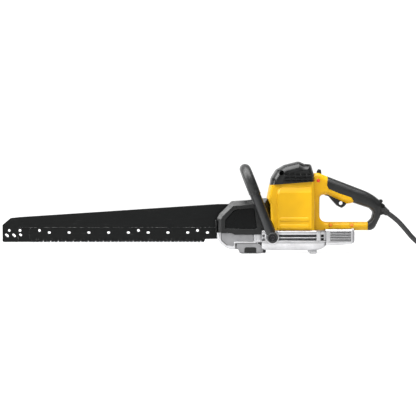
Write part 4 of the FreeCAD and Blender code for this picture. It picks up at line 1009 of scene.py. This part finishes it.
def make_guards():
    """Black guard halves with a broad bevel round a sunk, glossy pane."""
    levels = [(-28.0, 9.4), (-27.6, 8.4), (-27.0, 7.4), (-21.6, 0.9), (-20.6, 0.2), (-19.6, 0.0), (-0.4, 0.0),
              (-MIDDLE_GAP, 0.35)]
    cuts = [block(GUARD_BELOW, -40, 10), prism(GUARD_ROOM, [(-19.4, 3), (-19.0, 0), (10, 0)]),
            slab((-80, -36), (-3.6, 10), (10, 98.4)), slab((17, 30), (-3.8, 10), (30, 50.8)),
            prism(PANE, [(-29, -1.0), (-28, -0.8), (-26.9, 0.0), (-25.4, 0.0)])]
    half = carved(prism(GUARD, levels, segments=8), cuts)
    half = carved(half, [bar(x, z, -20, -3.0, 8.0) for x, z in CLAMP_HOLES], "UNION")
    pane = prism(PANE, [(-26.5, 1.4), (-26.4, 0.7), (-26.0, 0.25), (-25.2, 0.25), (-25.2, 0.3)], segments=8)
    for side, sign in SIDES:
        glass, holes = handed(pane, sign), []
        for x, z in CLAMP_HOLES:
            if side == "left":
                holes.append(bar(x, z, -22, 22, CLAMP_RADIUS))
            else:
                holes += [bar(x, z, -1, 30, CLAMP_RADIUS), bar(x, z, 22.6, 30, HEAD_ROOM)]
        piece("guard_" + side, carved(handed(half, sign), holes), "black_plastic", ["front_guard_" + side], 0.5, 35)
        if side == "right":
            glass = carved(glass, [bar(x, z, 20, 30, PANE_ROOM) for x, z in CLAMP_HOLES])
        piece("guard_pane_" + side, glass, "black_gloss", [], 0.3, 35)


CASTING = [(-71, 60), (-71, 36, 4), (-69.6, 29, 8), (-64.4, 20.6, 10), (-54, 12, 10), (-43.4, 8, 10), (30, 8),
           (30, 60)]
CASTING_ABOVE = [(-90, 41.4), (-42, 41.4), (-35, 38), (60, 38), (60, 90), (-90, 90)]
NOSE_DIP = [(-63, 50), (-61, 26, 4), (-50, 16.5, 5), (-37, 14, 2), (-37, 24, 2), (2.6, 24, 2), (2.6, 50)]
NOSE_PANEL = [(-62.4, 41.3), (-60.6, 26.4, 4), (-49.8, 17.1, 5), (-37.6, 14.6, 2), (-37.6, 24.5, 2), (2.0, 24.5, 2),
              (2.0, 38.0), (-35, 38.0), (-42, 41.3)]


def make_casting():
    """Nose casting: a rounded rim round a sunk panel, the blade channel and the belly in the shoe, with darker
    plates in the panels as painted shade.
    """
    body = prism(CASTING, rounded_levels(-26, 26, 5.5, 5.5, 6), segments=8)
    dip = prism(NOSE_DIP, [(-30, -1.2), (-26.0, -0.9), (-24.5, 0.2), (-24.3, 0.8)])
    cuts = [block(CASTING_ABOVE, *WHOLE_WIDTH), slab((7, 60), WHOLE_WIDTH, (0, 60)),
            slab((-62, 10), CHANNEL, (11.6, 45)), slab((-75, -60), (-5, 5), (17.5, 45))]
    cuts += on_both(dip, slab((-34.4, 10), (-30, -20.4), (0, 20.6)))
    piece("nose_casting", carved(body, cuts), "cast_alloy", ["front_casting"], 0.5, 35)
    # Painted shade: a darker plate of the same casting laid in each sunk panel.
    panel = prism(NOSE_PANEL, [(-24.9, 0.5), (-24.7, 0.15), (-24.4, 0.0), (-23.6, 0.0)])
    for side, sign in SIDES:
        piece("nose_panel_" + side, handed(panel, sign), "cast_painted_shade", [], 0, 60)


# The gear case: an upper and a lower casting round the crank, and the tail behind them.

CASE_FRONT, CASE_REAR = 7, 151
CASE_SPLIT, CASE_TOP = 26.6, 46.4
CASE_PROFILE = [(CASE_SPLIT, 1.4), (26.9, 1.0), (27.3, 2.6), (27.8, 3.0), (30.2, 3.0), (30.9, 2.4), (31.4, 0.9),
                (31.9, 0.5), (32.9, 0.5), (33.4, 0.9), (33.9, 2.6), (34.4, 3.2), (37.4, 3.2), (38.0, 2.6),
                (38.4, 0.9), (39.0, 0.2), (39.8, 0.0), (44.4, 0.0), (45.4, 0.3), (46.1, 1.0), (CASE_TOP, 2.0)]
PLAIN_PROFILE = [(26.62, 1.45), (27.2, 0.75), (28.6, 0.45), (38.0, 0.25), (44.3, 0.06), (45.3, 0.36), (46.0, 1.1),
                 (46.38, 2.1)]
BOWL_PROFILE = [(7.4, 19.0), (7.7, 17.2), (8.4, 15.0), (9.6, 12.0), (11.2, 9.2), (13.2, 6.6), (15.4, 4.6),
                (17.6, 3.2), (20.0, 2.0), (21.6, 1.5), (22.2, 1.6), (22.6, 2.0)]
BOWL_ROOM = [(10.6, 12.6), (13.2, 6.6), (15.4, 4.6), (17.6, 3.2), (20.0, 2.0), (23.0, 1.5)]
BOWL_SCREWS = [(58, -29.0), (58, 29.0), (101, -29.0), (101, 29.0)]
CASE_POST = (129.6, -41.4)
TAIL_SLOTS, TAIL_SLOT_STEP = 6, 3.3
FOOT_X, FOOT_Y = 120.3, 27.0


def plan_ring(level, inset, half, front_round, rear_round):
    """The gear case's outline seen from above, at one height."""
    corners = [(CASE_FRONT + inset, -half, front_round), (CASE_REAR - inset, -half, rear_round),
               (CASE_REAR - inset, half, rear_round), (CASE_FRONT + inset, half, front_round)]
    return placed(ring(corners, 0, 12), level, "z")


def case_loft(profile):
    """The upper case through (level, inset) steps."""
    return loft([plan_ring(level, inset, 45 - inset, 10, 30 - inset) for level, inset in profile])


def bowl_loft(profile):
    """The lower case through (level, inset) steps; its sides come in less than its ends."""
    return loft([plan_ring(level, inset, 44.8 - inset * 0.45, 8, 30 - inset * 0.6) for level, inset in profile])


def case_room():
    """The room for the gears, open below."""
    return block([(22, -41, 6), (147, -41, 26), (147, 41, 26), (22, 41, 6)], 20, 40.4, "z")


def front_end():
    """Where the grooves stop towards the nose."""
    return slab((0, 29), WHOLE_WIDTH, (20, 60))


def rear_end():
    """Where the grooves stop towards the tail."""
    return slab((140.6, 160), WHOLE_WIDTH, (20, 60))


def make_case():
    """Upper gear case: a bright flange over two deep grooves, with bosses for the bail and a screw post."""
    body, front, rear = case_loft(CASE_PROFILE), case_loft(PLAIN_PROFILE), case_loft(PLAIN_PROFILE)
    front = carved(front, [front_end()], "INTERSECT")
    rear = carved(rear, [rear_end()], "INTERSECT")
    body = carved(body, [rear, front], "UNION")
    eye = prism(circle(EYE_X, EYE_Z, 12.4), [(-47.0, 0.8), (-46.4, 0.2), (-45.8, 0), (-40, 0)], segments=12)
    neck = prism([(24, 24), (24, 52), (50.5, 52), (50.5, 24)], [(-45.0, 1.2), (-44.2, 0.2), (-43.4, 0), (-40, 0)])
    post = upright([(20, 5.0), (45.6, 5.0), (46.2, 4.6), (CASE_TOP, 4.0)], *CASE_POST, 32)
    body = carved(body, on_both(eye, neck, post), "UNION")
    cuts = [slab((0, 200), WHOLE_WIDTH, (0, CASE_SPLIT)), slab((0, 200), WHOLE_WIDTH, (CASE_TOP, 60)), case_room(),
            slab((0, 18.0), WHOLE_WIDTH, (38.0, 60)), slab((0, 24), CHANNEL, (20, 40.4)),
            slab((0, 18.0), CHANNEL, (20, 60)), slab((17, 30), (-3.8, 3.8), (39.4, 50.8)),
            upright([(38, 11.1), (50, 11.1)], 79, 0)]
    x = CASE_POST[0]
    slot = [(x - 3.4, -49.0), (x + 3.4, -49.0), (x + 3.4, -43.4, 1.5), (x - 3.4, -43.4, 1.5)]
    cuts += on_both(slab((0, 18.0), (-60, -26), (0, 60)), bar(EYE_X, EYE_Z, -60, -38, 4.1),
                    block(slot, 43.6, 60, "z"))
    piece("gear_case_top", carved(body, cuts), "cast_alloy", ["gear_case_upper"], 0.4, 35)


def make_case_details():
    """Dark bands deep in the grooves as painted shade, bright seats under the bail's eyes, and sunk screws near the
    front.
    """
    # Painted shade: dark metal bands laid deep in the grooves, where shade falls.
    for name, low, high in (("groove_lower", 27.9, 30.1), ("groove_upper", 34.5, 37.3)):
        band = case_loft([(low, 2.9), (low + 0.3, 2.7), (high - 0.3, 2.7), (high, 2.9)])
        cuts = [case_room(), slab((0, 24), CHANNEL, (20, 40.4)), rear_end(), front_end()]
        piece(name, carved(band, cuts), "cast_groove_shade", [], 0, 40)
    seat = [(44.6, 10.8), (44.6, 13.6), (46.4, 13.6), (47.2, 12.9), (47.2, 11.4), (46.6, 10.8)]
    socket = [(41.0, 0.0), (41.0, 2.3), (45.5, 2.3), (45.9, 2.0), (45.9, 1.2), (44.4, 1.0), (44.4, 0.0)]
    for side, sign in SIDES:
        profile = [(sign * far, radius) for far, radius in seat]
        piece("bail_seat_" + side, turned_across(profile, EYE_X, EYE_Z, 48), "cast_clear", [], 0, 40)
        profile = [(sign * far, radius) for far, radius in socket]
        for name, z in (("upper", 36.4), ("lower", 28.8)):
            piece("case_socket_%s_%s" % (name, side), turned_across(profile, 21.2, z, 24), "dark_screw", [], 0, 40)


def make_bowl():
    """Lower gear case: a bowl whose floor runs up to the flange in one long curve, with its four screws."""
    heads, wells, columns = [], [], []
    for x, y in BOWL_SCREWS:
        head = upright([(8.4, 0.0), (8.4, 3.2), (8.8, 3.9), (11.0, 3.9)], x, y, 24)
        heads.append(carved(head, [prism(circle(x, y, 1.9), [(8.0, 0), (10.0, 0)], "z", 2)]))
        wells.append(upright([(0, 4.6), (11.0, 4.6)], x, y, 28))
        columns.append(upright([(9.4, 6.4), (22.0, 6.4)], x, y, 28))
    piece("case_screw_heads", carved(heads[0], heads[1:], "UNION"), "dark_screw", ["case_screws"], 0.2, 40)
    room = bowl_loft([(level, inset + 1.6) for level, inset in BOWL_ROOM])
    body = carved(carved(bowl_loft(BOWL_PROFILE), [room]), columns, "UNION")
    cuts = wells + [slab((0, 24), CHANNEL, (11.6, 30))] + on_both(slab((0, 18.0), (-60, -26), (0, 60)))
    piece("gear_bowl", carved(body, cuts), "cast_alloy", ["gear_case_lower"], 0.4, 40)


def make_tail():
    """Tail cover with fine cooling ribs and a sloping lower edge."""
    profile = [(143, 15.6), (143, 48.6), (200.0, 48.6, 6), (203.4, 42.0, 5), (203.4, 24.0, 6), (196.0, 18.6, 6)]
    body = prism(profile, rounded_levels(-33, 33, 5, 5, 5), segments=8)
    plan = [(140, -34), (203.4, -34, 15), (203.4, 34, 15), (140, 34)]
    body = carved(body, [block(plan, 0, 60, "z", 12)], "INTERSECT")
    flare = [(-35, -0.4), (-33.1, -0.3), (-30.6, 0.3)]
    slots = (25.2 + TAIL_SLOT_STEP * i for i in range(TAIL_SLOTS))
    cuts = [prism(rectangle((153.5, z), (194.5, z + 1.6), 0.7), flare, segments=2) for z in slots]
    seam = rectangle((150.5, 23.0), (199, 23.7))
    notch = [(166.0, 14), (166.0, 17.2), (168.8, 20.4), (171.6, 17.2), (171.6, 14)]
    cuts += [block(seam, -35, -32.3), block(notch, -35, -31.8)]
    room = block(rectangle((140, 19.5), (199, 44.8)), -28, 28)
    piece("tail_shell", carved(body, on_both(*cuts) + [room]), "cast_alloy", ["tail_cover"], 0.3, 35)


def make_feet():
    """Two turned feet under the rear of the gear case."""
    profile = [(0.8, 2.6), (0.0, 3.0), (0.0, 5.6), (0.5, 6.7), (1.6, 7.5), (5.2, 7.6), (5.6, 7.1), (6.3, 7.1),
               (6.6, 7.6), (7.4, 7.6)]
    left, right = (upright(profile, FOOT_X, FOOT_Y * sign) for sign in (-1, 1))
    piece("feet", carved(left, [right], "UNION"), "cast_clear", ["rear_feet"], 0, 50)


# What the cord passes through, and its plug.

BOOT_START = (258.0, 0.0, 88.1)
BOOT_SLOPE = math.radians(-34)
PLUG_X, PLUG_Y, PLUG_Z = 520.0, 92.0, 17.0


def make_cord_fittings():
    """The ribbed boot round the cord, and the collar that holds it in the handle."""
    along = (math.cos(BOOT_SLOPE), 0, math.sin(BOOT_SLOPE))
    profile = [(-8, 5.2), (-8, 8.6), (4.0, 8.6)]
    for rib in range(4):
        start = 4.6 + 2.7 * rib
        top = 8.5 - 0.48 * rib
        profile += [(start, top), (start + 1.2, top - 0.15), (start + 1.45, top - 1.0), (start + 2.4, top - 1.1)]
    profile += [(15.2, 6.6), (15.8, 6.4), (16.0, 5.9), (16.0, 5.1)]
    piece("strain_relief", lathe(profile, BOOT_START, along, 36), "cord_rubber", ["cord_boot"], 0.15, 50)
    flange = lathe([(251, 12.6), (251.3, 13.4), (254.6, 13.4), (255.4, 12.6), (255.6, 11.4)],
                   (0, 0, 91.2), (1, 0, 0), 48)
    collar = lathe([(-8, 8.4), (-8, 9.6), (4.6, 9.4), (6.4, 8.9), (7.2, 7.8), (7.2, 4.0)],
                   (255.0, 0, 91.4), along, 48)
    rounded = [(-7.5, 2.6), (-7.0, 3.3), (-6.2, 3.7)]
    knobs = [turned_across(rounded + opposite(rounded), x, z, 28) for x, z in ((256.6, 103.4), (257.6, 79.4))]
    piece("cord_collar", carved(flange, [collar] + knobs, "UNION"), "black_plastic", ["cord_gland"], 0.4, 40)


def plug_loop(far, wide, high):
    """One slightly squared ring round the plug."""
    loop = []
    for i in range(56):
        angle = 2 * math.pi * i / 56
        cos, sin = math.cos(angle), math.sin(angle)
        x = wide * math.copysign(abs(cos) ** 0.92, cos)
        z = high * math.copysign(abs(sin) ** 0.92, sin)
        loop.append(Vector((PLUG_X + x, PLUG_Y + far, PLUG_Z + z)) * MM)
    return loop


def make_plug():
    """Contour plug: ribbed sleeve, waisted body and a flat face."""
    stations = [(0, 5.6, 5.6), (0.5, 6.5, 6.5)]
    for rib in range(6):
        start, size = 1.5 + 3.1 * rib, 6.7 + 0.33 * rib
        stations += [(start, size, size), (start + 1.7, size + 0.1, size + 0.1),
                     (start + 1.9, size - 0.9, size - 0.9), (start + 2.8, size - 0.9, size - 0.9)]
    stations += [(20.4, 9.0, 9.0), (22.0, 10.6, 10.2), (24.0, 13.6, 12.4), (27.0, 16.0, 14.4), (31.0, 16.9, 15.0),
                 (36.0, 16.3, 14.2), (42.0, 16.2, 14.4), (48.0, 16.7, 15.8), (52.0, 17.0, 16.9),
                 (55.0, 17.0, 17.0), (55.8, 16.7, 16.7), (56.0, 16.2, 16.2)]
    body = loft([plug_loop(*station) for station in stations])
    grooves = []
    for i in range(4):
        far = PLUG_Y + 34.0 + 3.2 * i
        for low, high in ((-20, -14), (14, 20)):
            slot = rectangle((PLUG_X + low, far), (PLUG_X + high, far + 1.5), 0.7)
            grooves.append(block(slot, PLUG_Z - 7, PLUG_Z + 7, "z"))
    return piece("mains_plug", carved(body, grooves), "cord_rubber", ["plug"], 0.3, 50)


make_handle()
make_trigger()
make_button()
make_cap()
make_bail()
make_guards()
make_housing()
make_case()
make_case_details()
make_bowl()
make_tail()
make_casting()
make_screw_well_shades()
make_cord_fittings()
plug_piece = make_plug()
make_feet()


# CAD nodes whose shape is right keep it, with a finish and softened edges.

# The shoe takes the darker cast copy, painted shade on its flat side.
OWN_FINISH = {"shoe": "cast_painted_shade", "wear_plates": "black_steel", "rear_feet": "cast_alloy"}
MANY_FACES = 7000
for name, node in nodes.items():
    for place in node.material_slots:
        place.material = FINISHES[OWN_FINISH.get(name, plain_name(place.material))]
    if not node.hide_render and len(node.data.polygons) < MANY_FACES:
        weld = node.modifiers.new("weld", "WELD")
        weld.merge_threshold = 0.00001
        flats = node.modifiers.new("flats", "DECIMATE")
        flats.decimate_type = "DISSOLVE"
        flats.angle_limit = math.radians(1.0)
        soften(node, 0.6)
